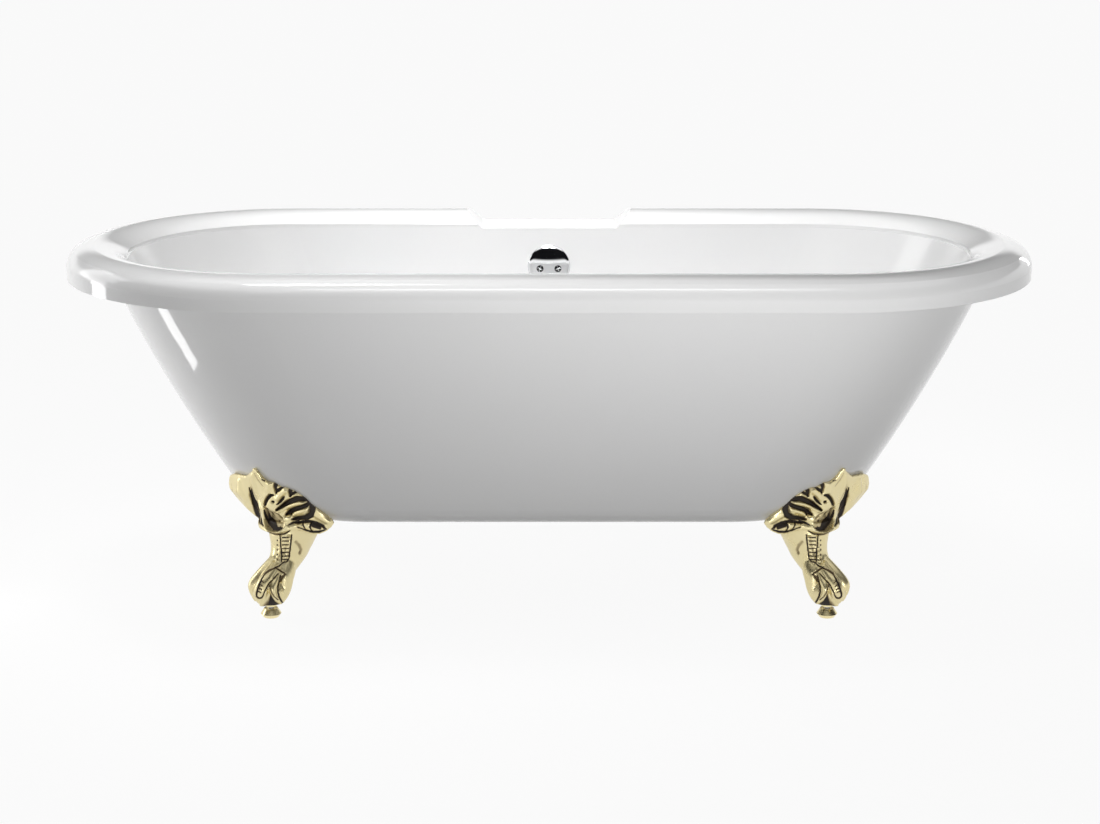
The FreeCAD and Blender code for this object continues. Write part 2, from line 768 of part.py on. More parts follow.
scrolls = [
    ellipsoid("scroll%d" % (side > 0), -d.scrollBack, d.scrollSide * side, d.scrollHeight,
              d.scrollRadius, d.scrollLength, d.scrollRadius)
    for side in (-1, 1)
]
tongueLength = d.tongueBack - d.calfBack
tongue = primitive("Box", "tongue", Length=tongueLength, Width=d.tongueWidth, Height=d.tongueThick)
place(tongue, -d.tongueBack, -d.tongueWidth / 2, underside - d.tongueThick)
casting = atFoot(fuse("casting", leg, ball, *toes, hood, collar, *scrolls, tongue))

leafReach = d.tongueBack + d.kneeReach
leafPrism = newBody("leaf_prism")
leafSketch = newSketch(leafPrism, "leaf_outline", "YZ_Plane", -d.tongueBack)
addOutline(leafSketch, [
    (-d.leafFootSide, d.leafFootHeight),
    (d.leafNoseSide, d.leafFootHeight),
    (d.leafNoseSide, d.leafNoseHeight),
    (-d.leafTipSide, d.leafTipHeight),
    (-d.leafEndSide, d.leafEndHeight),
    (-d.leafEndSide, d.leafEndHeight - d.leafEndDrop),
])
pad(leafPrism, leafSketch, leafReach)
atFoot(leafPrism)


def skirtWrap(label, grow):
    """The outer skin's walls as a block, grown all round and carried down past the rounding."""
    low = underside - d.leafThick
    levels = [low + (flangeLevel - low) * (step / (wallSections - 1)) for step in range(wallSections)]
    return stadiumLoft(label, [(level, *skirtSection(level, grow)) for level in levels])


leaf = common("leaf", leafPrism, skirtWrap("leaf_outside", d.leafThick))
skinRoom = vessel("skin_room", skirtSection, underside, flangeLevel, d.baseRound, d.skinClear)
studBore = cylinder("stud_bore", d.studRadius + d.slideClear, d.studTop + d.studSeat, -footX, -footY, 0)
underCut = cylinder("under_cut", d.ballRadius * 2, d.castBase, -footX, -footY, 0)
footFrontLeft = cut(
    "foot_front_left",
    fuse("foot_solid", casting, leaf),
    skinRoom,
    studBore,
    underCut,
    boltHoles[0],
    boltHoles[1],
)
footFrontRight = mirrored("foot_front_right", footFrontLeft, Vector(1, 0, 0))
footBackLeft = mirrored("foot_back_left", footFrontLeft, Vector(0, 1, 0))
footBackRight = mirrored("foot_back_right", footFrontRight, Vector(0, 1, 0))

# Bolts come up through the foot's flange and the underside into inserts in the board.
headLevel = washerLevel - d.boltHeadTall
shankTall = boardBottom + d.insertLength - washerLevel
bolts = []
washers = []
inserts = []
for number, (x, y) in enumerate(boltSpots):
    head = prism("bolt_head%d" % number, d.boltHead, d.boltHeadTall, x, y, headLevel)
    shank = cylinder("bolt_shank%d" % number, d.boltRadius, shankTall, x, y, washerLevel)
    bolts.append(fuse("bolt%d" % number, head, shank))
    washers.append(ring("washer%d" % number, d.boltWasherRadius, d.boltRadius + d.boltClear,
                        d.boltWasher, x, y, washerLevel))
    inserts.append(ring("insert%d" % number, d.insertRadius, d.boltRadius, d.insertLength, x, y, boardBottom))
footBolts = group("foot_bolts", bolts)
footWashers = group("foot_washers", washers)
footInserts = group("foot_inserts", inserts)

# Each leveller is a stud screwed up into the foot, seated in a glide and locked by a jam nut.
glides = []
studs = []
jamNuts = []
socket = d.studRadius + d.slideClear
glideShoulder = d.studRadius * 2
glideProfile = [
    (0, 0),
    (d.glideFace, 0),
    (d.glideRadius, d.glideRim),
    (glideShoulder, d.glideTall),
    (socket, d.glideTall),
    (socket, d.studSeat),
    (0, d.studSeat),
]
studFoot = d.studSeat + d.restClear
for sideX, sideY, name in corners:
    x, y = cornerPoint(0, sideX, sideY)
    glides.append(turned("leveller_glide_" + name, glideProfile, None, x, y, 0))
    studs.append(cylinder("leveller_stud_" + name, d.studRadius, d.studTop - studFoot, x, y, studFoot))
    nut = prism("jam_nut_blank_" + name, d.jamNutRadius, d.jamNutTall, x, y, d.castBase - d.jamNutTall)
    bore = cylinder("jam_nut_bore_" + name, socket, d.castBase, x, y, 0)
    jamNuts.append(cut("jam_nut_" + name, nut, bore))
levellerNuts = group("leveller_nuts", jamNuts)

# ---------------------------------------------------------------- overflow
plateEdge = d.plateRadius
faceRadius = d.plateRadius - d.plateDepth + d.plateWall
plateBody = turned("plate_body", [
    (0, -d.plateDepth),
    (faceRadius, -d.plateDepth),
    (plateEdge, -d.plateWall),
    (plateEdge, -d.restClear),
    (plateEdge - d.plateWall, -d.restClear),
    (plateEdge - d.plateWall, -d.plateWall),
    (faceRadius, d.plateWall - d.plateDepth),
    (0, d.plateWall - d.plateDepth),
], {1: ("radius", d.plateDepth - d.plateWall, True), 5: ("radius", d.plateDepth, False)})
onOverflow(plateBody, sized(0))
plateHoles = []
lugs = []
lugBores = []
screws = []
lugStart = d.plateWall
lugEnd = lugStart + d.tubeRadius
screwEnd = lugEnd - d.plateWall
headStart = -d.plateDepth - d.plateWall
for number, side in enumerate((-1, 1)):
    spot = (d.plateScrewSpread * side, d.plateScrewDrop)
    plateHoles.append(overflowRod("plate_hole%d" % number, d.plateScrewRadius, headStart, 0, *spot))
    lugs.append(overflowRod("lug%d" % number, 2 * d.plateScrewRadius, lugStart, lugEnd, *spot))
    lugBores.append(overflowRod("lug_bore%d" % number, d.plateScrewRadius, -overcut, screwEnd, *spot))
    screwHead = overflowRod("screw_head%d" % number, d.plateScrewHead, headStart, -d.plateDepth, *spot)
    screwShank = overflowRod("screw_shank%d" % number, d.plateScrewRadius, -d.plateDepth, screwEnd, *spot)
    screws.append(fuse("screw%d" % number, screwHead, screwShank))
overflowPlate = cut("overflow_plate", plateBody, *plateHoles)
overflowScrews = group("overflow_screws", screws)

sealOuter = plateEdge - 2 * d.plateWall
sealBlank = ring("seal_blank", sealOuter, d.neckRadius + d.neckClear, 2 * d.plateWall)
onOverflow(sealBlank, -d.plateWall)
overflowSeal = common("overflow_seal", sealBlank, basinCavity)

gasketRadius = d.socketRadius + d.neckWall * 2
gasketBlank = ring("gasket_blank", gasketRadius, d.neckRadius, flangeStand)
onOverflow(gasketBlank, sized(0))
overflowGasket = cut("overflow_gasket", gasketBlank, skirtSolid)

elbowLevel = overflowLevel - tubeStand * tiltSine
elbowEnd = elbowLevel - d.socketDepth - d.neckRadius
elbowTop = elbowLevel + d.socketRadius
boreRadius = d.tubeRadius + d.tubeClear
neckStart = -d.plateWall / 2
elbowSolid = fuse(
    "elbow_solid",
    overflowRod("neck", d.neckRadius, neckStart, tubeStand),
    overflowRod("neck_flange", gasketRadius, flangeStand, flangeStand + d.castFlange),
    cylinder("elbow_body", d.socketRadius, elbowTop - elbowEnd, 0, tubeOffset, elbowEnd),
)
elbowHollow = fuse(
    "elbow_hollow",
    overflowRod("neck_bore", d.neckRadius - d.neckWall, neckStart - overcut, tubeStand),
    cylinder("elbow_bore", boreRadius, elbowLevel - elbowEnd + d.neckRadius / 2, 0, tubeOffset, elbowEnd),
)
overflowElbow = cut(
    "overflow_elbow",
    fuse("elbow_with_lugs", cut("elbow_shell", elbowSolid, elbowHollow), *lugs),
    *lugBores,
)

# ---------------------------------------------------------------- tubes, tee and shoe
teeTop = d.runHeight + d.teeHalf
teeBottom = d.runHeight - d.teeHalf
teeSide = tubeOffset - d.teeHalf
shoeEnd = d.drainOffset + d.teeHalf + d.nutLip
shoeTop = underside - d.gasketThick
shoeFloor = d.runHeight - d.socketRadius - d.neckWall


def tube(label, start, end, x, y, z, axis):
    """A waste tube, from start to end along its axis."""
    return ring(label, d.tubeRadius, d.tubeRadius - d.tubeWall, end - start, x, y, z, axis)


overflowTubeFoot = teeTop - d.socketDepth
overflowTube = tube("overflow_tube", overflowTubeFoot, elbowEnd + d.socketDepth, 0, tubeOffset,
                    overflowTubeFoot, "z")
shoeTubeStart = shoeEnd - d.socketDepth
shoeTube = tube("shoe_tube", shoeTubeStart, teeSide + d.socketDepth, 0, shoeTubeStart, d.runHeight, "y")
tailPipe = tube("tail_pipe", d.tailEnd, teeBottom + d.socketDepth, 0, tubeOffset, d.tailEnd, "z")

# The tee's sockets stop at shoulders, past which its waterways are as narrow as the tubes or narrower.
coreRadius = d.socketRadius + d.neckWall
coreHalf = d.teeHalf - d.nutGrip - d.nutLip
waterwayRadius = d.tubeRadius - d.tubeWall
branchWaterway = waterwayRadius - d.tubeWall
wasteTee = cut(
    "waste_tee",
    fuse(
        "tee_solid",
        cylinder("tee_upright", d.socketRadius, 2 * d.teeHalf, 0, tubeOffset, teeBottom),
        cylinder("tee_core", coreRadius, 2 * coreHalf, 0, tubeOffset, d.runHeight - coreHalf),
        cylinder("tee_branch", d.socketRadius, d.teeHalf, 0, teeSide, d.runHeight, "y"),
    ),
    cylinder("tee_upper_socket", boreRadius, d.socketDepth, 0, tubeOffset, teeTop - d.socketDepth),
    cylinder("tee_lower_socket", boreRadius, d.socketDepth, 0, tubeOffset, teeBottom),
    cylinder("tee_waterway", waterwayRadius, 2 * d.teeHalf, 0, tubeOffset, teeBottom),
    cylinder("tee_branch_socket", boreRadius, d.socketDepth, 0, teeSide, d.runHeight, "y"),
    cylinder("tee_branch_waterway", branchWaterway, d.teeHalf, 0, teeSide, d.runHeight, "y"),
)
neckBottom = underside - d.drainReach
drainShoe = cut(
    "drain_shoe",
    fuse(
        "shoe_solid",
        cylinder("shoe_body", d.shoeRadius, shoeTop - shoeFloor, 0, d.drainOffset, shoeFloor),
        cylinder("shoe_flange", d.shoeFlange, d.castFlange, 0, d.drainOffset, shoeTop - d.castFlange),
        cylinder("shoe_outlet", d.socketRadius, shoeEnd - d.drainOffset, 0, d.drainOffset, d.runHeight, "y"),
    ),
    cylinder("shoe_bore", d.drainNeck + d.tubeClear, shoeTop - d.runHeight + d.tubeRadius, 0, d.drainOffset,
             d.runHeight - d.tubeRadius),
    cylinder("shoe_outlet_bore", boreRadius, shoeEnd - d.drainOffset, 0, d.drainOffset, d.runHeight, "y"),
)
drainGasket = ring("drain_gasket", d.shoeFlange, d.drainNeck + d.tubeClear, d.gasketThick,
                   0, d.drainOffset, shoeTop)

# Slip joints: a washer on each socket's end, drawn down by a nut. facing is the way the end looks.
slipEnds = [
    ("elbow", elbowEnd, -1, "z", tubeOffset),
    ("tee_top", teeTop, 1, "z", tubeOffset),
    ("tee_bottom", teeBottom, -1, "z", tubeOffset),
    ("tee_side", teeSide, -1, "y", d.runHeight),
    ("shoe", shoeEnd, 1, "y", d.runHeight),
]
slipNutParts = []
slipWasherParts = []
lipped = d.washerThick + d.nutLip


def onRun(axis, across, start):
    """A point of a tube's middle line: how far out an upright tube stands or how high a level one lies,
    and how far along it the point is."""
    return (0, across, start) if axis == "z" else (0, start, across)


for name, end, facing, axis, across in slipEnds:
    nutStart = end - lipped if facing < 0 else end - d.nutGrip
    gripStart = end - d.washerThick if facing < 0 else end - d.nutGrip
    washerStart = end - d.washerThick if facing < 0 else end
    nutSpot = onRun(axis, across, nutStart)
    gripSpot = onRun(axis, across, gripStart)
    washerSpot = onRun(axis, across, washerStart)
    blank = prism("nut_blank_" + name, d.nutRadius, d.nutGrip + lipped, *nutSpot, axis)
    through = cylinder("nut_through_" + name, boreRadius, d.nutGrip + lipped, *nutSpot, axis)
    grip = cylinder("nut_grip_" + name, d.socketRadius, d.nutGrip + d.washerThick, *gripSpot, axis)
    slipNutParts.append(cut("nut_" + name, blank, through, grip))
    slipWasherParts.append(ring("washer_" + name, d.socketRadius - d.tubeClear, d.tubeRadius,
                                d.washerThick, *washerSpot, axis))
slipNuts = group("slip_nuts", slipNutParts)
slipWashers = group("slip_washers", slipWasherParts)

# ---------------------------------------------------------------- drain and toe-tap stopper
flangeFoot = basinFloor + d.drainSealThick
flangeTop = flangeFoot + d.drainThick
neckInside = d.drainNeck - d.drainWall
drainBody = turned("drain_body", [
    (neckInside, neckBottom),
    (d.drainNeck, neckBottom),
    (d.drainNeck, flangeFoot),
    (d.drainRadius, flangeFoot),
    (d.drainRadius - d.drainThick, flangeTop),
    (d.drainNeck + d.drainWall, flangeTop),
    (neckInside, flangeTop - d.drainThick),
], None, 0, d.drainOffset, 0)
spiderLevel = neckBottom + d.drainWall
spokes = []
for name, long, wide in (("x", neckInside, d.drainWall), ("y", d.drainWall, neckInside)):
    spoke = primitive("Box", "spoke_" + name, Length=2 * long, Width=2 * wide, Height=d.spiderThick)
    spokes.append(place(spoke, -long, d.drainOffset - wide, spiderLevel))
hub = cylinder("drain_hub", d.cartridgeRadius, d.spiderThick, 0, d.drainOffset, spiderLevel)
hubHole = cylinder("hub_hole", d.plungerRadius, d.spiderThick, 0, d.drainOffset, spiderLevel)
drainFlange = cut("drain_flange", fuse("drain_with_spider", drainBody, *spokes, hub), hubHole)
drainSeal = ring("drain_seal", d.drainRadius - d.drainWall, d.drainNeck, d.drainSealThick,
                 0, d.drainOffset, basinFloor)

cartridgeFoot = spiderLevel + d.spiderThick
cartridgeTop = cartridgeFoot + d.cartridgeLength
plungerBore = d.plungerRadius + d.slideClear
cartridge = turned("stopper_cartridge", [
    (0, spiderLevel),
    (d.plungerRadius, spiderLevel),
    (d.plungerRadius, cartridgeFoot),
    (d.cartridgeRadius, cartridgeFoot),
    (d.cartridgeRadius, cartridgeTop),
    (plungerBore, cartridgeTop),
    (plungerBore, cartridgeFoot + d.drainWall),
    (0, cartridgeFoot + d.drainWall),
], None, 0, d.drainOffset, 0)
sealFoot = flangeTop + d.stopperTravel + d.restClear
capFoot = sealFoot + d.sealThick
capRise = d.stopperDome - d.sealThick
capArc = (d.stopperRadius * d.stopperRadius + capRise * capRise) / (2 * capRise)
stopperCap = turned("stopper_cap", [
    (0, capFoot),
    (d.stopperRadius, capFoot),
    (d.stopperRadius, capFoot + d.sealThick),
    (0, capFoot + d.stopperDome),
], {2: ("radius", capArc, True)}, 0, d.drainOffset, 0)
sealInner = d.drainNeck + d.drainWall
stopperSeal = ring("stopper_seal", d.stopperRadius - d.sealInset, sealInner, d.sealThick,
                   0, d.drainOffset, sealFoot)
plungerFoot = cartridgeFoot + d.drainWall + d.stopperTravel + d.restClear
stopperPlunger = cylinder("stopper_plunger", d.plungerRadius, capFoot - plungerFoot,
                          0, d.drainOffset, plungerFoot)

# ---------------------------------------------------------------- checks and export
doc.recompute()
nodes = [
    basinShell, outerShell, rimBond, baseBoard, ledgeBoard,
    footFrontLeft, footFrontRight, footBackLeft, footBackRight,
    footBolts, footWashers, footInserts, *glides, *studs, levellerNuts,
    overflowPlate, overflowScrews, overflowSeal, overflowGasket, overflowElbow, overflowTube,
    wasteTee, tailPipe, shoeTube, drainShoe, drainGasket, slipNuts, slipWashers,
    drainFlange, drainSeal, cartridge, stopperCap, stopperSeal, stopperPlunger,
]
for thing in doc.Objects:
    if "Invalid" in thing.State or "Error" in thing.State:
        raise RuntimeError("failed: %s %s" % (thing.Label, thing.State))
for node in nodes:
    if node.Shape.isNull() or not node.Shape.isValid():
        raise RuntimeError("bad shape: " + node.Label)
for node in nodes:
    node.Shape.exportStep("parts/%s.step" % node.Label)
    box = node.Shape.BoundBox
    print("%-30s %2d solids %11.0f mm3  x %.1f..%.1f  y %.1f..%.1f  z %.1f..%.1f" % (
        node.Label, len(node.Shape.Solids), node.Shape.Volume,
        box.XMin, box.XMax, box.YMin, box.YMax, box.ZMin, box.ZMax))
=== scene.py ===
import json
import math

import bmesh
import bpy
import numpy as np
from mathutils import Matrix, Vector


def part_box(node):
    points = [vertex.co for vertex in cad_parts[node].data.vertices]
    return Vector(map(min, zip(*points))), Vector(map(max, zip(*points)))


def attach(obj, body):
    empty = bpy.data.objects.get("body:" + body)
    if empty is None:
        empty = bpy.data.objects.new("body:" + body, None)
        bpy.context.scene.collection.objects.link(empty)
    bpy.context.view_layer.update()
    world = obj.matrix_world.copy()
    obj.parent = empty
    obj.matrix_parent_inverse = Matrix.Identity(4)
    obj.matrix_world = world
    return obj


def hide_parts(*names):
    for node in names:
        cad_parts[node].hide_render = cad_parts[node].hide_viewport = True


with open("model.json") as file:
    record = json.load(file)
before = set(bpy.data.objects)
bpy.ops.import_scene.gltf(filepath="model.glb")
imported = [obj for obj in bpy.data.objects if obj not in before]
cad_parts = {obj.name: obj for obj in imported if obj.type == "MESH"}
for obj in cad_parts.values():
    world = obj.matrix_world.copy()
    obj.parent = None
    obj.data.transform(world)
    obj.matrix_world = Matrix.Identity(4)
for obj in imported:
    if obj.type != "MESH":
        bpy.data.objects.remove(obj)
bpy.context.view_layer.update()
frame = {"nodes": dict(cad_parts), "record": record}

nodes = frame["nodes"]
mm = 0.001


# camera, lamps, backdrop and floor
lamps = {
    # place, target, energy, size across and up, spread in degrees
    "frontLamp": ((0.3, -3.0, 0.45), (0.3, -0.3, 0.8), 3.3, (1.5, 0.4), 36),
    "topLamp": ((-0.35, 0.1, 2.6), (-0.3, 0, 0.5), 3.8, (1.3, 0.8), 46),
    "innerLamp": ((0.3, -0.9, 1.9), (0.3, 0.28, 0.45), 1.9, (1.7, 0.3), 30),
    "leftLamp": ((-2.4, 0.5, 1.3), (-0.6, 0, 0.5), 8, (1.2, 1.2), 180),
    "leftStrip": ((-1.07, -0.15, 0.35), (-0.6, -0.2, 0.35), 0.8, (0.1, 0.56), 180),
    "rightStrip": ((1.4, 0.87, 0.85), (0.8, -0.17, 0.6), 0.6, (0.06, 0.6), 180),
}
view = {
    "place": (0.0, -4.55146, 1.45069),
    "pitch": 14.0095,  # degrees below level
    "lens": 85.401,
    "shiftX": 0.00091,
    "shiftY": 0.0,
}
studio = {
    "worldLight": 0.32,
    "floorSize": 30.0,
    "bounceColour": (0.42, 0.42, 0.42),  # what the floor throws back at the bath
    "floorColour": (0.88, 0.88, 0.88),
    "floorGlow": 0.93,
    "ceilingShade": (0.006, 0.006, 0.007, 1),
    "ceiling": [(0.2, 1), (0.26, 0), (0.66, 0), (0.8, 1)],  # upward share of the ray, white or not
}


def addMath(tree, operation, first, second):
    # a math node between sockets or plain numbers
    node = tree.nodes.new("ShaderNodeMath")
    node.operation = operation
    for socket, value in zip(node.inputs, (first, second)):
        if isinstance(value, (int, float)):
            socket.default_value = value
        else:
            tree.links.new(value, socket)
    return node.outputs[0]


def makeCamera():
    data = bpy.data.cameras.new("viewCamera")
    data.lens = view["lens"]
    data.sensor_width = 36
    data.shift_x = view["shiftX"]
    data.shift_y = view["shiftY"]
    data.clip_end = 50
    camera = bpy.data.objects.new("viewCamera", data)
    camera.location = view["place"]
    camera.rotation_euler = (math.radians(90 - view["pitch"]), 0, 0)
    bpy.context.scene.collection.objects.link(camera)
    bpy.context.scene.camera = camera
    bpy.context.scene.view_settings.view_transform = "Standard"
    print("camera")


def makeLamps():
    for name, (place, target, energy, size, spreadAngle) in lamps.items():
        data = bpy.data.lights.new(name, "AREA")
        data.energy = energy
        data.shape = "RECTANGLE"
        data.size, data.size_y = size
        data.spread = math.radians(spreadAngle)
        lamp = bpy.data.objects.new(name, data)
        lamp.location = place
        lamp.visible_camera = False
        aim = Vector(target) - Vector(place)
        lamp.rotation_euler = aim.to_track_quat("-Z", "Y").to_euler()
        bpy.context.scene.collection.objects.link(lamp)


def makeStudio():
    world = bpy.data.worlds.new("studio")
    bpy.context.scene.world = world
    world.use_nodes = True
    tree = world.node_tree
    tree.nodes.clear()
    out = tree.nodes.new("ShaderNodeOutputWorld")
    mix = tree.nodes.new("ShaderNodeMixShader")
    lit = tree.nodes.new("ShaderNodeBackground")
    seen = tree.nodes.new("ShaderNodeBackground")
    path = tree.nodes.new("ShaderNodeLightPath")
    lit.inputs["Color"].default_value = (1, 1, 1, 1)
    lit.inputs["Strength"].default_value = studio["worldLight"]
    seen.inputs["Strength"].default_value = 1
    rays = path.outputs["Is Camera Ray"]
    for kind in ("Is Glossy Ray", "Is Transmission Ray"):
        rays = addMath(tree, "MAXIMUM", rays, path.outputs[kind])
    tree.links.new(rays, mix.inputs["Fac"])
    tree.links.new(lit.outputs[0], mix.inputs[1])
    tree.links.new(seen.outputs[0], mix.inputs[2])
    tree.links.new(mix.outputs[0], out.inputs["Surface"])
    # reflections show the white backdrop all round, and a dark band of ceiling above it
    coords = tree.nodes.new("ShaderNodeTexCoord")
    split = tree.nodes.new("ShaderNodeSeparateXYZ")
    ceiling = tree.nodes.new("ShaderNodeValToRGB")
    stops = ceiling.color_ramp.elements
    while len(stops) < len(studio["ceiling"]):
        stops.new(0.5)
    for stop, (position, whiteness) in zip(stops, studio["ceiling"]):
        stop.position = position
        stop.color = (1, 1, 1, 1) if whiteness else studio["ceilingShade"]
    tree.links.new(coords.outputs["Generated"], split.inputs[0])
    tree.links.new(split.outputs["Z"], ceiling.inputs["Fac"])
    backdrop = blendColours(tree, path.outputs["Is Camera Ray"], ceiling.outputs["Color"], (1, 1, 1))
    tree.links.new(backdrop, seen.inputs["Color"])
    print("lamps and backdrop")


def makeFloor():
    bm = bmesh.new()
    bmesh.ops.create_grid(bm, x_segments=1, y_segments=1, size=studio["floorSize"])
    mesh = bpy.data.meshes.new("floor")
    bm.to_mesh(mesh)
    bm.free()
    floor = bpy.data.objects.new("floor", mesh)
    bpy.context.scene.collection.objects.link(floor)
    material, tree, shader = newMaterial("paleFloor")
    tree.nodes.remove(shader)
    bounce = tree.nodes.new("ShaderNodeBsdfDiffuse")
    seen = tree.nodes.new("ShaderNodeEmission")
    seen.inputs["Color"].default_value = (1, 1, 1, 1)
    path = tree.nodes.new("ShaderNodeLightPath")
    mix = tree.nodes.new("ShaderNodeMixShader")
    rays = addMath(tree, "MAXIMUM", path.outputs["Is Camera Ray"], path.outputs["Is Glossy Ray"])
    floorShade = blendColours(tree, rays, studio["bounceColour"], studio["floorColour"])
    tree.links.new(floorShade, bounce.inputs["Color"])
    tree.links.new(addMath(tree, "MULTIPLY", rays, studio["floorGlow"]), mix.inputs["Fac"])
    tree.links.new(bounce.outputs[0], mix.inputs[1])
    tree.links.new(seen.outputs[0], mix.inputs[2])
    out = next(node for node in tree.nodes if node.type == "OUTPUT_MATERIAL")
    tree.links.new(mix.outputs[0], out.inputs["Surface"])
    mesh.materials.append(material)
    print("pale floor")


# shader groups and finishes
def newMaterial(name):
    material = bpy.data.materials.new(name)
    material.use_nodes = True
    tree = material.node_tree
    shader = next(node for node in tree.nodes if node.type == "BSDF_PRINCIPLED")
    return material, tree, shader


def makeGrainGroup():
    # cloudy variation and a fine grain, both from the piece's own coordinates
    group = bpy.data.node_groups.new("surfaceGrain", "ShaderNodeTree")
    face = group.interface
    for name, value in (("Cloud Scale", 6.0), ("Grain Scale", 400.0), ("Stretch", 1.0)):
        socket = face.new_socket(name=name, in_out="INPUT", socket_type="NodeSocketFloat")
        socket.default_value = value
    for name in ("Cloud", "Grain"):
        face.new_socket(name=name, in_out="OUTPUT", socket_type="NodeSocketFloat")
    new = group.nodes.new
    enter = new("NodeGroupInput")
    leave = new("NodeGroupOutput")
    coords = new("ShaderNodeTexCoord")
    stretch = new("ShaderNodeCombineXYZ")
    stretch.inputs["Y"].default_value = 1
    stretch.inputs["Z"].default_value = 1
    scaled = new("ShaderNodeVectorMath")
    scaled.operation = "MULTIPLY"
    cloud = new("ShaderNodeTexNoise")
    cloud.inputs["Detail"].default_value = 3
    grain = new("ShaderNodeTexNoise")
    grain.inputs["Detail"].default_value = 2
    link = group.links.new
    link(enter.outputs["Stretch"], stretch.inputs["X"])
    link(coords.outputs["Object"], scaled.inputs[0])
    link(stretch.outputs[0], scaled.inputs[1])
    for noise, scale, out in ((cloud, "Cloud Scale", "Cloud"), (grain, "Grain Scale", "Grain")):
        link(scaled.outputs[0], noise.inputs["Vector"])
        link(enter.outputs[scale], noise.inputs["Scale"])
        link(noise.outputs["Fac"], leave.inputs[out])
    return group


def placeGrain(tree, cloudScale, grainScale, stretch=1.0):
    node = tree.nodes.new("ShaderNodeGroup")
    node.node_tree = grainGroup
    node.inputs["Cloud Scale"].default_value = cloudScale
    node.inputs["Grain Scale"].default_value = grainScale
    node.inputs["Stretch"].default_value = stretch
    return node


def spread(tree, source, low, high):
    # maps a noise mask, which mostly lies between 0.3 and 0.7, onto low to high
    node = tree.nodes.new("ShaderNodeMapRange")
    node.inputs["From Min"].default_value = 0.3
    node.inputs["From Max"].default_value = 0.7
    node.inputs["To Min"].default_value = low
    node.inputs["To Max"].default_value = high
    tree.links.new(source, node.inputs["Value"])
    return node.outputs["Result"]


def blendColours(tree, mask, first, second):
    node = tree.nodes.new("ShaderNodeMix")
    node.data_type = "RGBA"
    tree.links.new(mask, node.inputs["Factor"])
    for number, colour in ((6, first), (7, second)):
        if isinstance(colour, tuple):
            node.inputs[number].default_value = (*colour, 1)
        else:
            tree.links.new(colour, node.inputs[number])
    return node.outputs[2]


def addBump(tree, shader, height, strength, distance):
    bump = tree.nodes.new("ShaderNodeBump")
    bump.inputs["Strength"].default_value = strength
    bump.inputs["Distance"].default_value = distance
    tree.links.new(height, bump.inputs["Height"])
    tree.links.new(bump.outputs["Normal"], shader.inputs["Normal"])


coatRoughness = 0.03
finishes = {
    "acrylic": {"colours": ((0.80, 0.80, 0.80), (0.83, 0.83, 0.83)), "metallic": 0, "rough": (0.07, 0.11),
                "cloud": 3, "grain": 60, "bump": (0.04, 0.0004), "coat": 0.5},
    "bond": {"colours": ((0.62, 0.62, 0.6), (0.72, 0.72, 0.7)), "metallic": 0, "rough": (0.35, 0.5),
             "cloud": 20, "grain": 300, "bump": (0.2, 0.0004), "coat": 0},
    "steel": {"colours": ((0.52, 0.52, 0.53), (0.64, 0.64, 0.65)), "metallic": 1, "rough": (0.22, 0.4),
              "cloud": 60, "grain": 900, "bump": (0.1, 0.0002), "coat": 0},
    "chrome": {"colours": ((0.88, 0.89, 0.9), (0.93, 0.93, 0.94)), "metallic": 1, "rough": (0.04, 0.09),
               "cloud": 25, "grain": 500, "bump": (0.02, 0.0002), "coat": 0},
    "rubber": {"colours": ((0.018, 0.018, 0.018), (0.04, 0.04, 0.04)), "metallic": 0,
               "rough": (0.55, 0.75), "cloud": 40, "grain": 1200, "bump": (0.25, 0.0003), "coat": 0},
    "stopper_brass": {"colours": ((0.66, 0.5, 0.24), (0.76, 0.6, 0.32)), "metallic": 1,
                      "rough": (0.18, 0.34), "cloud": 40, "grain": 800, "bump": (0.08, 0.0002), "coat": 0},
}
plywood = {
    "grain": (14, 260, 0.08),  # cloud scale, grain scale, stretch along the veneer
    "veneer": ((0.42, 0.25, 0.12), (0.62, 0.43, 0.24)),
    "glueLine": (0.36, 0.2, 0.09),
    "plies": 90,
    "rough": (0.5, 0.72),
    "bump": (0.3, 0.0006),
}
brass = {
    "grain": (30, 700),
    "colours": ((0.83, 0.71, 0.38), (0.91, 0.81, 0.5)),
    "rough": (0.25, 0.38),
    "bump": (0.06, 0.0003),
    # the patina and painted shade in the hollows of the casting, from its soft edge to its middle
    "patinaShadeEdge": (0.34, 0.2, 0.07),
    "patinaShade": (0.016, 0.009, 0.004),
    "patinaShadeFull": 0.9,
    "patinaShadeFall": 1.6,
    "patinaShadeRough": 0.6,
    "metallic": (0.75, 0.15),  # polished, darkened by patina and painted shade
}


def makeFinish(name):
    look = finishes[name]
    material, tree, shader = newMaterial(name + "Finish")
    grain = placeGrain(tree, look["cloud"], look["grain"])
    colour = blendColours(tree, grain.outputs["Cloud"], *look["colours"])
    tree.links.new(colour, shader.inputs["Base Color"])
    tree.links.new(spread(tree, grain.outputs["Cloud"], *look["rough"]), shader.inputs["Roughness"])
    shader.inputs["Metallic"].default_value = look["metallic"]
    shader.inputs["Coat Weight"].default_value = look["coat"]
    shader.inputs["Coat Roughness"].default_value = coatRoughness
    addBump(tree, shader, grain.outputs["Grain"], *look["bump"])
    return material


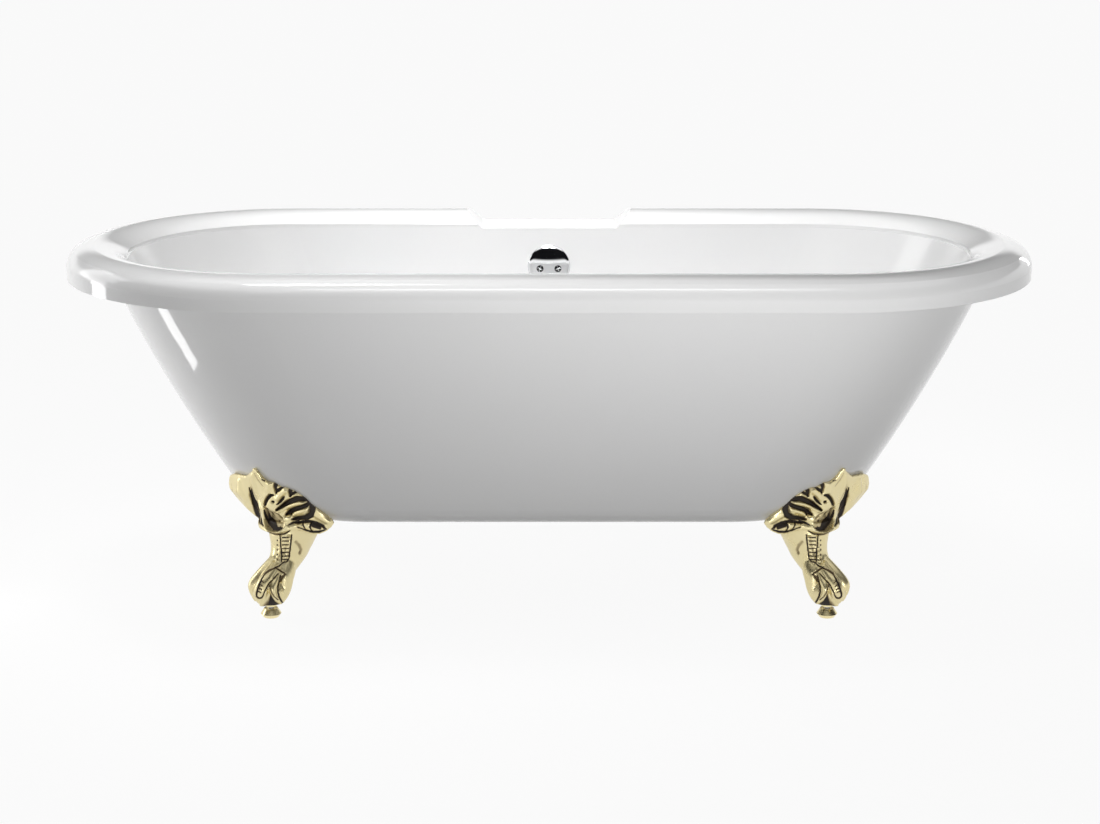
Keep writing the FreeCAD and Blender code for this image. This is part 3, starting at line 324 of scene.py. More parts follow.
def makePlywood():
    material, tree, shader = newMaterial("plywoodFinish")
    grain = placeGrain(tree, *plywood["grain"])
    plies = tree.nodes.new("ShaderNodeTexWave")
    plies.bands_direction = "Z"
    plies.inputs["Scale"].default_value = plywood["plies"]
    coords = tree.nodes.new("ShaderNodeTexCoord")
    tree.links.new(coords.outputs["Object"], plies.inputs["Vector"])
    veneer = blendColours(tree, grain.outputs["Cloud"], *plywood["veneer"])
    layered = blendColours(tree, plies.outputs["Fac"], veneer, plywood["glueLine"])
    tree.links.new(layered, shader.inputs["Base Color"])
    tree.links.new(spread(tree, grain.outputs["Grain"], *plywood["rough"]), shader.inputs["Roughness"])
    addBump(tree, shader, grain.outputs["Grain"], *plywood["bump"])
    return material


def makeFootBrass(name, carved):
    # polished brass, darkened in the hollows of the casting by patina and painted shade
    material, tree, shader = newMaterial(name)
    grain = placeGrain(tree, *brass["grain"])
    light = blendColours(tree, grain.outputs["Cloud"], *brass["colours"])
    rough = spread(tree, grain.outputs["Cloud"], *brass["rough"])
    if carved:
        # the mask of patina and painted shade, read from the casting's attribute
        patinaShade = tree.nodes.new("ShaderNodeAttribute")
        patinaShade.attribute_name = "patinaAndShade"
        ramp = tree.nodes.new("ShaderNodeValToRGB")
        ramp.color_ramp.elements[0].position = 0.0
        ramp.color_ramp.elements[0].color = (0, 0, 0, 1)
        ramp.color_ramp.elements[1].position = brass["patinaShadeFull"]
        ramp.color_ramp.elements[1].color = (1, 1, 1, 1)
        tree.links.new(patinaShade.outputs["Fac"], ramp.inputs["Fac"])
        patinaShaded = ramp.outputs["Color"]
        soft = blendColours(tree, patinaShaded, light, brass["patinaShadeEdge"])
        fall = addMath(tree, "POWER", patinaShaded, brass["patinaShadeFall"])
        tree.links.new(blendColours(tree, fall, soft, brass["patinaShade"]), shader.inputs["Base Color"])
        dull = tree.nodes.new("ShaderNodeMix")
        tree.links.new(patinaShaded, dull.inputs["Factor"])
        tree.links.new(rough, dull.inputs[2])
        dull.inputs[3].default_value = brass["patinaShadeRough"]
        tree.links.new(dull.outputs[0], shader.inputs["Roughness"])
        metal = tree.nodes.new("ShaderNodeMapRange")
        metal.inputs["To Min"].default_value, metal.inputs["To Max"].default_value = brass["metallic"]
        tree.links.new(patinaShaded, metal.inputs["Value"])
        tree.links.new(metal.outputs["Result"], shader.inputs["Metallic"])
    else:
        tree.links.new(light, shader.inputs["Base Color"])
        tree.links.new(rough, shader.inputs["Roughness"])
        shader.inputs["Metallic"].default_value = 1
    addBump(tree, shader, grain.outputs["Grain"], *brass["bump"])
    return material


def dressFrame():
    materials = {name: makeFinish(name) for name in finishes}
    materials["plywood"] = makePlywood()
    materials["foot_brass"] = makeFootBrass("plainBrass", False)
    for row in frame["record"]["subparts"]:
        for slot in nodes[row["node"]].material_slots:
            slot.material = materials[row["material_slot"]]


# the bath's outer skin in mm, which the feet's leaves follow
skin = {
    "top": 580,
    "underside": 170,
    "topLong": 775,
    "baseLong": 543,
    "belly": 12.5,  # how far the ends bulge past straight, half way down
    "topWide": 300,
    "baseWide": 233,
    "baseRound": 30,
    "clear": 0.35,  # air between the skin and a leaf
}


def skinOutline(up, rounded):
    # half length and half width of the outer skin at each height
    level = np.maximum(up, skin["underside"])
    part = (skin["top"] - level) / (skin["top"] - skin["underside"])
    long = skin["topLong"] + (skin["baseLong"] - skin["topLong"]) * part
    long = long + skin["belly"] * 4 * part * (1 - part)
    wide = skin["topWide"] + (skin["baseWide"] - skin["topWide"]) * part
    if rounded:
        drop = np.clip((skin["underside"] + skin["baseRound"] - level) / skin["baseRound"], 0, 1)
        inset = skin["baseRound"] * (1 - np.sqrt(1 - drop * drop))
        long = long - inset
        wide = wide - inset
    return long, wide


# Claw feet, in mm. Leaf sizes are across the leaf along the skin, and up from the floor. Leg sizes are
# outwards from the floor contact, sideways towards the bath's middle, and up.
leaf = {
    "axis": -322,
    "turnRadius": 240,
    "step": 1.3,
    "lowEdge": 146,
    "highEdge": 270,
    "leftEdge": -112,
    "rightEdge": 119,
    "thick": 9,
    "edgeRound": 6,
    "hoodFoot": (230, 7),
    "hoodSlope": 0.42,
    "hoodFall": (0.008, 0.0125),
    "hoodBlend": 6,
    "lobeLift": 16,
    "lobeStart": 30,
    "lobeRun": 40,
    "lobeTop": (236, 30),  # where the lift has ended, and how far below that it is full
    "edgeHeight": 0.35,  # share of the leaf's height left at its edge
    "edgeFoot": 2,
    "patinaShadeSpread": 2.2,
    "outline": [
        (-13, 267), (-20, 259), (-32, 250), (-42, 244), (-56, 242), (-80, 239), (-100, 231), (-107, 216),
        (-104, 200), (-95, 185), (-80, 171), (-62, 161), (-42, 152), (-26, 148), (-6, 147.5), (12, 147.5),
        (28, 151), (41, 156), (54, 154), (70, 151.5), (85, 152), (100, 159), (109, 167), (115, 175),
        (112, 182), (105, 188), (96, 195), (86, 202), (77, 209), (70, 218), (61, 225), (49, 232),
        (37, 236), (27, 236), (16, 242), (3, 243), (-5, 249), (-10, 259),
    ],
    # each cut: depth, darkness, then points with their half widths
    "cuts": [
        (9, 1, [(-39, 223, 1.2), (-42, 213, 4), (-45, 201, 6.5), (-46, 189, 7), (-45, 177, 6.5),
                (-40, 166, 5), (-30, 157, 2)]),
        (8, 1, [(12, 219, 1.5), (5, 217, 3), (-2, 210, 3.8), (-7, 203, 4), (-11, 195, 4.5),
                (-9, 189, 2.5)]),
        (9, 1, [(20, 247, 3), (18, 234, 3.8), (17, 224, 2.5)]),
        (8, 1, [(17, 226, 2), (25, 231, 3), (33, 238, 2)]),
        (9, 1, [(45, 240, 3), (45, 229, 3.4), (43, 221, 2.5)]),
        (8, 1, [(44, 223, 2), (51, 228, 2.6), (58, 233, 2)]),
        (7, 1, [(8, 206, 2.4), (10, 206, 2.4)]),
        (6, 1, [(16, 202, 1.2), (22, 208, 2.4), (28, 215, 2.2), (33, 220, 1)]),
        (9, 1, [(14, 191, 2.2), (21, 197, 3.2), (30, 204, 4.4), (42, 211, 5), (56, 218, 5.6),
                (69, 218, 5)]),
        (9, 1, [(29, 184, 2.4), (35, 190, 3.8), (46, 196, 4.4), (58, 201, 4.4), (69, 206, 4),
                (76, 212, 3)]),
        (9, 1, [(71, 220, 4), (78, 211, 5.6), (80, 200, 6.2), (76, 189, 6), (64, 181, 5.2),
                (50, 178, 4.2), (39, 175, 3)]),
        (7, 1, [(35, 187, 3), (36, 185, 3)]),
        (5, 1, [(33, 166, 1.6), (38, 169, 2.4), (46, 172, 2)]),
        (1.6, 0.25, [(-31, 232, 1), (-35, 218, 1.8), (-33, 206, 2), (-28, 194, 1)]),
        (1.4, 0.2, [(-70, 224, 1), (-74, 208, 1.8), (-70, 192, 1)]),
        (1.4, 0.15, [(-90, 218, 1), (-91, 204, 1.6), (-86, 192, 1)]),
        (1.6, 0.3, [(-14, 256, 1), (-12, 244, 1.8), (-6, 232, 1)]),
        (3.5, 1, [(42, 168, 1.8), (57, 172.5, 2.8), (70, 175, 3), (84, 174, 3), (97, 169, 2.6),
                  (101, 164, 1.8)]),
        (3.5, 1, [(46, 161, 1.8), (60, 157.5, 2.4), (75, 156, 2.4), (88, 158, 2.4), (98, 162, 2)]),
        (3, 1, [(56, 172, 1.8), (60, 163, 2), (62, 158, 1.6)]),
        (3, 1, [(74, 175, 2), (72, 165, 2), (74, 157, 1.6)]),
        (2, 0.95, [(77, 170, 4.4), (84, 169, 5), (91, 166, 3.4)]),
    ],
    # each ridge: height, then points with their half widths
    "ridges": [
        (3.5, [(20, 190, 3), (34, 199, 4.4), (50, 206, 5), (66, 211, 4)]),
        (3.0, [(40, 183, 3), (50, 189, 5), (62, 194, 5.5), (70, 198, 3)]),
        (2.5, [(17, 212, 4), (30, 224, 5), (40, 233, 5)]),
        (2.5, [(2, 224, 5), (8, 236, 5), (8, 244, 4)]),
        (3.0, [(-24, 186, 5), (-33, 202, 6), (-30, 226, 7), (-20, 250, 5)]),
        (2.5, [(-62, 196, 7), (-66, 214, 8), (-64, 230, 6)]),
        (4.0, [(30, 177, 6), (33, 176, 6)]),
        (4.5, [(50, 165, 6), (66, 166, 9), (84, 167, 9), (98, 166, 5)]),
        (2.5, [(82, 190, 5), (98, 182, 6), (108, 177, 5)]),
    ],
    "mouth": [(-11, 191), (-3, 193), (6, 190), (18, 184), (24, 179), (27, 169), (27, 158), (19, 152.5),
              (8, 152), (-4, 157), (-15, 167)],
    "mouthDepth": 14,
    "mouthEdge": 5,
    "tongue": (9, [(-2, 190, 4), (4, 187, 4.5), (12, 178, 5), (20, 172, 5), (24, 164, 4)]),
    "tongueShine": 0.75,
    "lip": (2.5, [(-12, 192, 2), (-17, 178, 2.6), (-17, 169, 3), (-5, 156, 3), (8, 151.5, 3),
                  (19, 151.5, 3), (27, 156, 3), (30, 164, 3), (29, 173, 2.6)]),
}
leg = {
    "angle": 50.5,
    "sides": 40,
    # up, outwards to the section's middle, half outwards, half sideways
    "sections": [
        (168.5, -58, 45, 38), (156, -58, 45.5, 38), (145, -59, 46, 39), (134, -60, 46.5, 37),
        (126, -58, 44, 34), (117, -55, 42, 31), (109, -51, 40, 29), (100, -45.5, 39, 28),
        (91, -38, 37, 26.5), (82, -29, 34, 25), (73, -20, 30, 24), (65, -12, 26, 22), (56, -5, 20, 20),
        (48, -3, 12, 12),
    ],
    "ball": (0, 0, 44, 29.5),
    "base": 27.2,
    # toes and talons: outwards, sideways, up and radius
    "limbs": {
        "nearToe": [(-18, -3, 104, 8), (-6, -6, 91, 10.5), (9, -12, 75, 11.6), (20.5, -18, 61, 10.8),
                    (23, -17, 51, 9.5), (25, -12.5, 44, 7.6), (27.5, -9.5, 39, 5.6), (28, -8.5, 36, 3.6)],
        "frontToe": [(-6, 6, 93, 8), (1, 7, 86, 10), (10, 7, 78, 11.5), (19.5, 6.5, 69, 12.4),
                     (26, 5, 60, 12.2), (28.5, 3, 52, 11.6), (29, 1.5, 45, 10), (28.5, 0.5, 39, 6.6)],
        "frontTalon": [(24, 14, 62, 5), (28, 12.5, 54, 6.5), (28.5, 9, 45, 7), (27, 7.3, 37, 6.5),
                       (24.5, 5, 29, 6)],
        "sideTalon": [(-12, 14, 90, 5), (-2, 17, 80, 6), (9, 20.5, 70, 6.6), (16.5, 22.5, 60, 6),
                      (17.5, 24.5, 50, 5), (12, 26.5, 40, 4), (3, 27.5, 32, 2.6)],
        "farToe": [(-42, 2, 116, 10), (-35, 8, 100, 15), (-27, 13, 85, 17), (-19, 17, 70, 16),
                   (-14, 21, 53, 12), (-7, 21.5, 40, 9.5), (-1, 20, 31, 6.5)],
        "heel": [(-40, -6, 88, 14), (-34, -9, 74, 15), (-28, -10, 60, 13), (-24, -9, 47, 10),
                 (-20, -7, 35, 7)],
    },
    "domeSizes": (0.95, 0.75, 0.4, 0.1),
    "limbSides": 20,
    "limbSteps": 5,
    "knuckles": {"limb": "frontToe", "side": -0.65, "out": 0.45, "count": 5, "radii": (3.74, 3.06, 2.04)},
    "beadRows": [
        {"angle": 19, "count": 7, "top": 143, "bottom": 101, "radius": 3.3},
        {"angle": 40, "count": 7, "top": 143, "bottom": 102, "radius": 4.6},
    ],
    "beadShape": (0.9, 1, 0.86),
    "beadProud": 0.4,
    # The fine lines, darkened with patina and painted shade (a painted shadow under the lip, dark gaps
    # between beads and toes), are drawn on the side seen from this bearing and tip, in degrees, and fade
    # where the casting turns away: depth, darkness, then points across and up from the floor contact with
    # half widths.
    "seenFrom": (6.38, 17.18),
    "turnedAway": (0.05, 0.2),
    "strokes": [
        # a painted shadow under the lip of the collar
        (1.4, 0.9, [(-1.6, 147.2, 1.1), (5.7, 143.7, 1.4), (16.1, 141.5, 1.4), (26.6, 142.5, 1.4),
                    (36.1, 147.4, 1.2)]),
        (0.5, 1, [(-7.2, 184.6, 1.9), (-4.9, 176, 2.7), (0.8, 164.4, 3.2), (8, 153.2, 2.7)]),
        (2.5, 1, [(-32.5, 224.7, 1.2), (-29.5, 216.6, 1.5), (-26.4, 206.1, 2.8), (-23.9, 195.5, 4.2),
                  (-21.3, 186, 4.9), (-17.4, 174.5, 4.7), (-13.4, 163.9, 3.2), (-9.6, 157.5, 1.2)]),
        (1, 1, [(-10.1, 237.3, 1.2), (-4.9, 234.8, 1.2)]),
        (1.0, 1, [(18.6, 140.7, 1.2), (19.3, 131.6, 1.3), (19.7, 122.5, 1.3), (20.6, 113.5, 1.3),
                  (20.7, 104.1, 1.3), (20, 94.6, 1.3)]),
        (1.0, 1, [(39, 140.1, 1.5), (37.6, 129.1, 1.5), (36.2, 119.7, 1.5), (35.2, 110.2, 1.3),
                  (33.8, 100.8, 1.3), (29.8, 94.3, 1.3), (25.3, 93.1, 1.2)]),
        (1.2, 1, [(25.3, 94.4, 1.5), (19.9, 90.8, 1.5), (15.7, 87.2, 1.5), (10, 85.5, 1.3),
                  (7.1, 83.7, 1.2)]),
        (0.8, 0.75, [(7.7, 83.6, 1.7), (-0.5, 80.7, 2.3), (-8.2, 75.7, 2.3), (-11.1, 72, 1.5)]),
        (0.8, 0.8, [(10.3, 84.1, 1.5), (17.4, 79.5, 1.9), (26.6, 73, 1.7)]),
        (0.8, 0.7, [(24.7, 71.7, 1.9), (19.9, 67.1, 3), (18, 60.6, 1.5)]),
        (1.4, 1, [(-11.2, 71, 1.2), (-14.3, 66.4, 1.7), (-17.9, 58.6, 1.9), (-21.7, 50, 1.9),
                  (-24.2, 41.8, 1.9), (-24.5, 35.9, 1.7), (-20.8, 32.6, 1.5), (-15.9, 33, 1.5),
                  (-13.2, 36.9, 1.3), (-9.6, 45.4, 1.2), (-3.1, 56.6, 1.2), (5.7, 65.7, 1.2),
                  (14.2, 74.5, 1.2)]),
        (0.8, 0.8, [(-2.1, 55.6, 1.2), (-0.8, 48.9, 1.2), (1.6, 41.6, 1.2), (6, 34.3, 1.2),
                    (12.6, 28.8, 1.2)]),
        (1.4, 1, [(17.9, 70.6, 1.3), (15.4, 62, 1.5), (13.3, 53.2, 1.7), (12.6, 43.7, 1.7),
                  (14.6, 34.2, 1.7), (18.7, 25.5, 1.7), (21.4, 21.3, 1.2)]),
        (1, 1, [(-18.3, 17, 1.2), (-13.6, 14.9, 1.7), (-3.3, 13.8, 1.9), (8.1, 14.6, 1.9),
                (16.4, 18.1, 1.3)]),
        (0.9, 1, [(23.1, 136.2, 1.2), (33.6, 136.3, 1.2)]),
        (0.9, 1, [(22.9, 130, 1.2), (33.5, 130, 1.2)]),
        (0.9, 1, [(22.7, 123.5, 1.2), (33.3, 123.6, 1.2)]),
        (0.9, 1, [(22.5, 117.1, 1.2), (33.1, 117.1, 1.2)]),
        (0.9, 1, [(22.4, 110.6, 1.2), (32.9, 110.7, 1.2)]),
        (0.9, 1, [(22.2, 104.2, 1.2), (32.8, 104.2, 1.2)]),
        (0.9, 1, [(22, 98.1, 1.2), (32.6, 98.2, 1.2)]),
        (0.9, 1, [(13.7, 132.3, 1.2), (14.2, 131.2, 1.2)]),
        (0.9, 1, [(13.5, 124.4, 1.2), (14, 123.2, 1.2)]),
        (0.9, 1, [(13.3, 116.2, 1.2), (13.8, 115.1, 1.2)]),
        (0.9, 1, [(13, 107.7, 1.2), (13.6, 106.6, 1.2)]),
        (0.9, 1, [(12.8, 99.6, 1.2), (13.3, 98.4, 1.2)]),
        (0.9, 0.9, [(-15.1, 62.6, 1.3), (-11.1, 59.5, 1.2)]),
        (0.9, 0.9, [(-17.6, 56.5, 1.3), (-13.1, 53.5, 1.2)]),
        (0.9, 0.9, [(-19.6, 50.3, 1.3), (-15.2, 47.5, 1.2)]),
        (0.9, 0.9, [(-21.3, 44.7, 1.3), (-16.8, 41.9, 1.2)]),
    ],
    # share of the darkness taken off again, then points with their half widths
    "shines": [
        (0.9, [(-10.1, 161.0, 1.2), (-4.5, 152.6, 1.4), (5.8, 147.2, 1.4), (17.4, 146.3, 1.4),
               (26.8, 148.8, 1.4), (32.3, 155.0, 1.2)]),
        (0.75, [(1.3, 184.3, 1.5), (6.8, 175.6, 3.0), (15.0, 167.8, 3.4), (17.6, 157.3, 3.0)]),
        (0.6, [(-8.1, 171.3, 1.2), (-1.2, 159.7, 1.2), (6.1, 151.0, 1.2)]),
    ],
    # painted shade on the ball's lower side and in the dark gap between toe and ball: depth, darkness, soft
    # edge, outline across and up
    "paintedShadePatches": [
        (0.2, 0.75, 6, [(-1.6, 39.5), (-6.6, 30.2), (-13.4, 22.9), (-17.3, 17.3), (-7.1, 13.2),
                        (8.0, 13.1), (17.6, 18.0), (13.0, 23.8), (5.6, 28.8)]),
        (0.6, 1, 1.6, [(-0.2, 42.8), (-2.7, 33.8), (-4.9, 24.5), (-6.2, 17.7), (0.5, 15.2), (10, 16),
                       (18, 19.1), (13.5, 22.3), (7.6, 27.1), (2.9, 34)]),
    ],
    # depth, radius, darkness, then a run of points on the shank
    "dimple": (2.4, 4.6, 0.62, [(-35.7, 28, 134), (-42.6, 29, 126), (-48, 27.5, 116), (-46, 27.5, 111)]),
    # the flat tongue under the bath that takes the bolts: start, end, half width, bottom, top
    "tongueBox": (-200, -52, 23, 157.2, 169.5),
    # hollows darkened with patina and painted shade: after how many rounds of smoothing, and how deep they
    # start
    "creases": {4: 0.09, 12: 0.24},
    "creaseRun": 2.2,
    "creasePatinaShade": 0.4,
    "clawTop": 104,
    "clawPatinaShade": 0.1,
    "voxel": 1.25,
    "smoothing": 2,
}


def strokeProfile(across, up, points):
    # 1 on the stroke's line, falling to 0 at its edge, where the half width follows the points
    best = np.full(across.shape, np.inf)
    for (x0, y0, half0), (x1, y1, half1) in zip(points, points[1:]):
        dx, dy = x1 - x0, y1 - y0
        share = np.clip(((across - x0) * dx + (up - y0) * dy) / (dx * dx + dy * dy), 0, 1)
        reach = np.hypot(across - x0 - share * dx, up - y0 - share * dy)
        best = np.minimum(best, reach / (half0 + (half1 - half0) * share))
    return np.clip(1 - best * best, 0, 1)


def insideOutline(across, up, points):
    inside = np.zeros(across.shape, bool)
    for (x0, y0), (x1, y1) in zip(points, points[1:] + points[:1]):
        if y0 == y1:
            continue
        crosses = ((y0 > up) != (y1 > up)) & (across < (x1 - x0) * (up - y0) / (y1 - y0) + x0)
        inside ^= crosses
    return inside


def edgeDistance(across, up, points):
    best = np.full(across.shape, np.inf)
    for (x0, y0), (x1, y1) in zip(points, points[1:] + points[:1]):
        dx, dy = x1 - x0, y1 - y0
        share = np.clip(((across - x0) * dx + (up - y0) * dy) / (dx * dx + dy * dy), 0, 1)
        best = np.minimum(best, np.hypot(across - x0 - share * dx, up - y0 - share * dy))
    return best


def leafRelief(across, up):
    # how far the leaf stands off the skin, and how dark its hollows are
    level, start = leaf["hoodFoot"]
    fall = np.where(across < 0, *leaf["hoodFall"])
    hood = start + (level - up) * leaf["hoodSlope"] - fall * across * across
    lift = leaf["lobeLift"] * np.clip((-across - leaf["lobeStart"]) / leaf["lobeRun"], 0, 1)
    lobeTop, lobeFade = leaf["lobeTop"]
    base = leaf["thick"] + lift * np.clip((lobeTop - up) / lobeFade, 0, 1)
    blend = leaf["hoodBlend"]
    height = np.maximum(hood, base) + np.maximum(blend - np.abs(hood - base), 0) ** 2 / (4 * blend)
    dark = np.zeros(across.shape)
    for tall, points in leaf["ridges"]:
        height = height + tall * strokeProfile(across, up, points)
    for deep, patinaShade, points in leaf["cuts"]:
        profile = strokeProfile(across, up, points)
        height = height - deep * np.sqrt(profile)
        # patina and painted shade in the leaf's grooves
        dark = np.maximum(dark, patinaShade * np.clip(profile * leaf["patinaShadeSpread"], 0, 1))
    lipTall, lipLine = leaf["lip"]
    lipProfile = strokeProfile(across, up, lipLine)
    tongueTall, tongueLine = leaf["tongue"]
    tongueProfile = strokeProfile(across, up, tongueLine)
    onLip = np.clip(lipProfile * 2, 0, 1)
    onTongue = np.clip(tongueProfile * 1.6, 0, 1)
    wall = np.clip(edgeDistance(across, up, leaf["mouth"]) / leaf["mouthEdge"], 0, 1)
    pocket = insideOutline(across, up, leaf["mouth"]) * wall * (1 - onLip)
    height = height - leaf["mouthDepth"] * np.sqrt(pocket) + lipTall * lipProfile
    height = height + tongueTall * np.sqrt(tongueProfile) * np.clip(pocket * 2, 0, 1)
    # painted shade deep in the mouth, lifted on the tongue where light reaches it
    dark = np.maximum(dark, np.clip(pocket * 2, 0, 1) * (1 - leaf["tongueShine"] * onTongue))
    dark = dark * (1 - onLip)
    edge = np.clip(edgeDistance(across, up, leaf["outline"]) / leaf["edgeRound"], 0, 1)
    rounding = np.sqrt(1 - (1 - edge) ** 2)
    rounding = leaf["edgeHeight"] + (1 - leaf["edgeHeight"]) * rounding
    return leaf["edgeFoot"] + np.maximum(height - leaf["edgeFoot"], 0.5) * rounding, dark


def footAxes():
    turn = math.radians(leg["angle"])
    low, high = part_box("leveller_glide_front_left")
    place = ((low[0] + high[0]) / 2 / mm, (low[1] + high[1]) / 2 / mm)
    out = (-math.cos(turn), -math.sin(turn))
    side = (math.sin(turn), -math.cos(turn))
    return place, out, side


def skinReach(bearing, up, rounded):
    # from the leaves' upright axis out to the skin, on each bearing
    out, side = footAxes()[1:]
    long, wide = skinOutline(up, rounded)
    centre = wide - long
    dx = out[0] * np.cos(bearing) + side[0] * np.sin(bearing)
    dy = out[1] * np.cos(bearing) + side[1] * np.sin(bearing)
    offset = leaf["axis"] - centre
    along = offset * dx
    reach = -along + np.sqrt(np.maximum(along * along + wide * wide - offset * offset, 0))
    straight = leaf["axis"] + reach * dx > centre
    sideReach = -wide / np.minimum(dy, -0.05)  # never read where the bearing runs along the bath
    return np.where(straight, sideReach, reach), dx, dy


def addLeaf(bm):
    spanAcross = leaf["rightEdge"] - leaf["leftEdge"]
    spanUp = leaf["highEdge"] - leaf["lowEdge"]
    columns = round(spanAcross / leaf["step"])
    rows = round(spanUp / leaf["step"])
    grid = bmesh.ops.create_grid(bm, x_segments=columns, y_segments=rows, size=0.5)["verts"]
    middle = (leaf["leftEdge"] + spanAcross / 2, leaf["lowEdge"] + spanUp / 2, 0)
    bmesh.ops.scale(bm, verts=grid, vec=(spanAcross, spanUp, 1))
    bmesh.ops.translate(bm, verts=grid, vec=middle)
    faces = list({face for vert in grid for face in vert.link_faces})
    centres = np.array([face.calc_center_median() for face in faces])
    kept = insideOutline(centres[:, 0], centres[:, 1], leaf["outline"])
    bmesh.ops.delete(bm, geom=[face for face, keep in zip(faces, kept) if not keep], context="FACES")
    front = [face for face, keep in zip(faces, kept) if keep]
    frontVerts = list({vert for face in front for vert in face.verts})
    copy = bmesh.ops.extrude_face_region(bm, geom=front, use_keep_orig=True)["geom"]
    backVerts = [item for item in copy if isinstance(item, bmesh.types.BMVert)]
    for verts, onSkin in ((frontVerts, False), (backVerts, True)):
        across = np.array([vert.co.x for vert in verts])
        up = np.array([vert.co.y for vert in verts])
        bearing = across / leaf["turnRadius"]
        reach, dx, dy = skinReach(bearing, up, False)
        proud = np.full(across.shape, skin["clear"]) if onSkin else leafRelief(across, up)[0]
        for vert, x, y, z in zip(verts, leaf["axis"] + (reach + proud) * dx, (reach + proud) * dy, up):
            vert.co = (x, y, z)


def smoothPath(points, steps):
    # a Catmull-Rom run through points that also carry their radius
    rows = [Vector(point) for point in points]
    rows = [2 * rows[0] - rows[1]] + rows + [2 * rows[-1] - rows[-2]]
    path = []
    for before, start, end, after in zip(rows, rows[1:], rows[2:], rows[3:]):
        for step in range(steps):
            t = step / steps
            path.append(0.5 * (2 * start + (end - before) * t
                               + (2 * before - 5 * start + 4 * end - after) * t * t
                               + (3 * start - before - 3 * end + after) * t ** 3))
    path.append(rows[-2])
    return path


def addRings(bm, matrices, sides):
    rings = []
    for number, matrix in enumerate(matrices):
        capped = number in (0, len(matrices) - 1)
        ring = bmesh.ops.create_circle(bm, cap_ends=capped, segments=sides, radius=1, matrix=matrix)
        rings.append(ring["verts"])
    for first, second in zip(rings, rings[1:]):
        edges = set()
        for ring in (set(first), set(second)):
            edges |= {edge for vert in ring for edge in vert.link_edges if edge.other_vert(vert) in ring}
        bmesh.ops.bridge_loops(bm, edges=list(edges))


def addLeg(bm, footMatrix):
    rows = smoothPath([(outwards, up, deep, wide) for up, outwards, deep, wide in leg["sections"]], 2)
    matrices = [
        footMatrix @ Matrix.Translation((row[0], 0, row[1])) @ Matrix.Diagonal((row[2], row[3], 1, 1))
        for row in rows
    ]
    addRings(bm, matrices, leg["sides"])


def domeRings(end, inner):
    # shrinking rings that round off a limb past its last point
    outwards = (end.xyz - inner.xyz).normalized() * end.w
    return [(end.xyz + outwards * math.sqrt(1 - size * size), end.w * size) for size in leg["domeSizes"]]


def addLimb(bm, footMatrix, points):
    rows = smoothPath(points, leg["limbSteps"])
    start = domeRings(rows[0], rows[1])[::-1]
    stations = start + [(row.xyz, row.w) for row in rows] + domeRings(rows[-1], rows[-2])
    matrices = []
    for number, (spot, radius) in enumerate(stations):
        before = stations[max(number - 1, 0)][0]
        after = stations[min(number + 1, len(stations) - 1)][0]
        turn = (after - before).to_track_quat("Z", "Y").to_matrix().to_4x4()
        size = Matrix.Diagonal((radius, radius, 1, 1))
        matrices.append(footMatrix @ Matrix.Translation(spot) @ turn @ size)
    addRings(bm, matrices, leg["limbSides"])


def addLump(bm, footMatrix, spot, radii):
    matrix = footMatrix @ Matrix.Translation(spot) @ Matrix.Diagonal((*radii, 1))
    bmesh.ops.create_uvsphere(bm, u_segments=24, v_segments=14, radius=1, matrix=matrix)


def legPoint(up, angle, proud=0):
    # a point on the leg's side at a height, the angle measured from outwards towards the middle
    rows = leg["sections"]
    for (high, *first), (low, *second) in zip(rows, rows[1:]):
        if low <= up <= high:
            share = (high - up) / (high - low)
            middle, deep, wide = (a + (b - a) * share for a, b in zip(first, second))
            turn = math.radians(angle)
            return Vector((middle + (deep + proud) * math.cos(turn), (wide + proud) * math.sin(turn), up))


def addBeads(bm, footMatrix):
    for row in leg["beadRows"]:
        for number in range(row["count"]):
            up = row["top"] + (row["bottom"] - row["top"]) * number / (row["count"] - 1)
            radii = [row["radius"] * share for share in leg["beadShape"]]
            addLump(bm, footMatrix, legPoint(up, row["angle"], leg["beadProud"]), radii)


def addKnuckles(bm, footMatrix):
    look = leg["knuckles"]
    rows = smoothPath(leg["limbs"][look["limb"]], leg["limbSteps"])
    usable = rows[len(rows) // 3: -len(rows) // 8]
    for number in range(look["count"]):
        row = usable[round((len(usable) - 1) * number / (look["count"] - 1))]
        spot = row.xyz + Vector((look["out"], look["side"], 0)) * row.w
        addLump(bm, footMatrix, spot, look["radii"])


def addTongue(bm, footMatrix):
    start, end, half, low, high = leg["tongueBox"]
    matrix = (footMatrix @ Matrix.Translation(((start + end) / 2, 0, (low + high) / 2))
              @ Matrix.Diagonal((end - start, 2 * half, high - low, 1)))
    bmesh.ops.create_cube(bm, size=1, matrix=matrix)


def averageNeighbours(places, edges, count):
    total = np.zeros_like(places)
    for near, far in (edges.T, edges.T[::-1]):
        for column in range(3):
            total[:, column] += np.bincount(near, weights=places[far, column], minlength=len(places))
    return total / count[:, None]


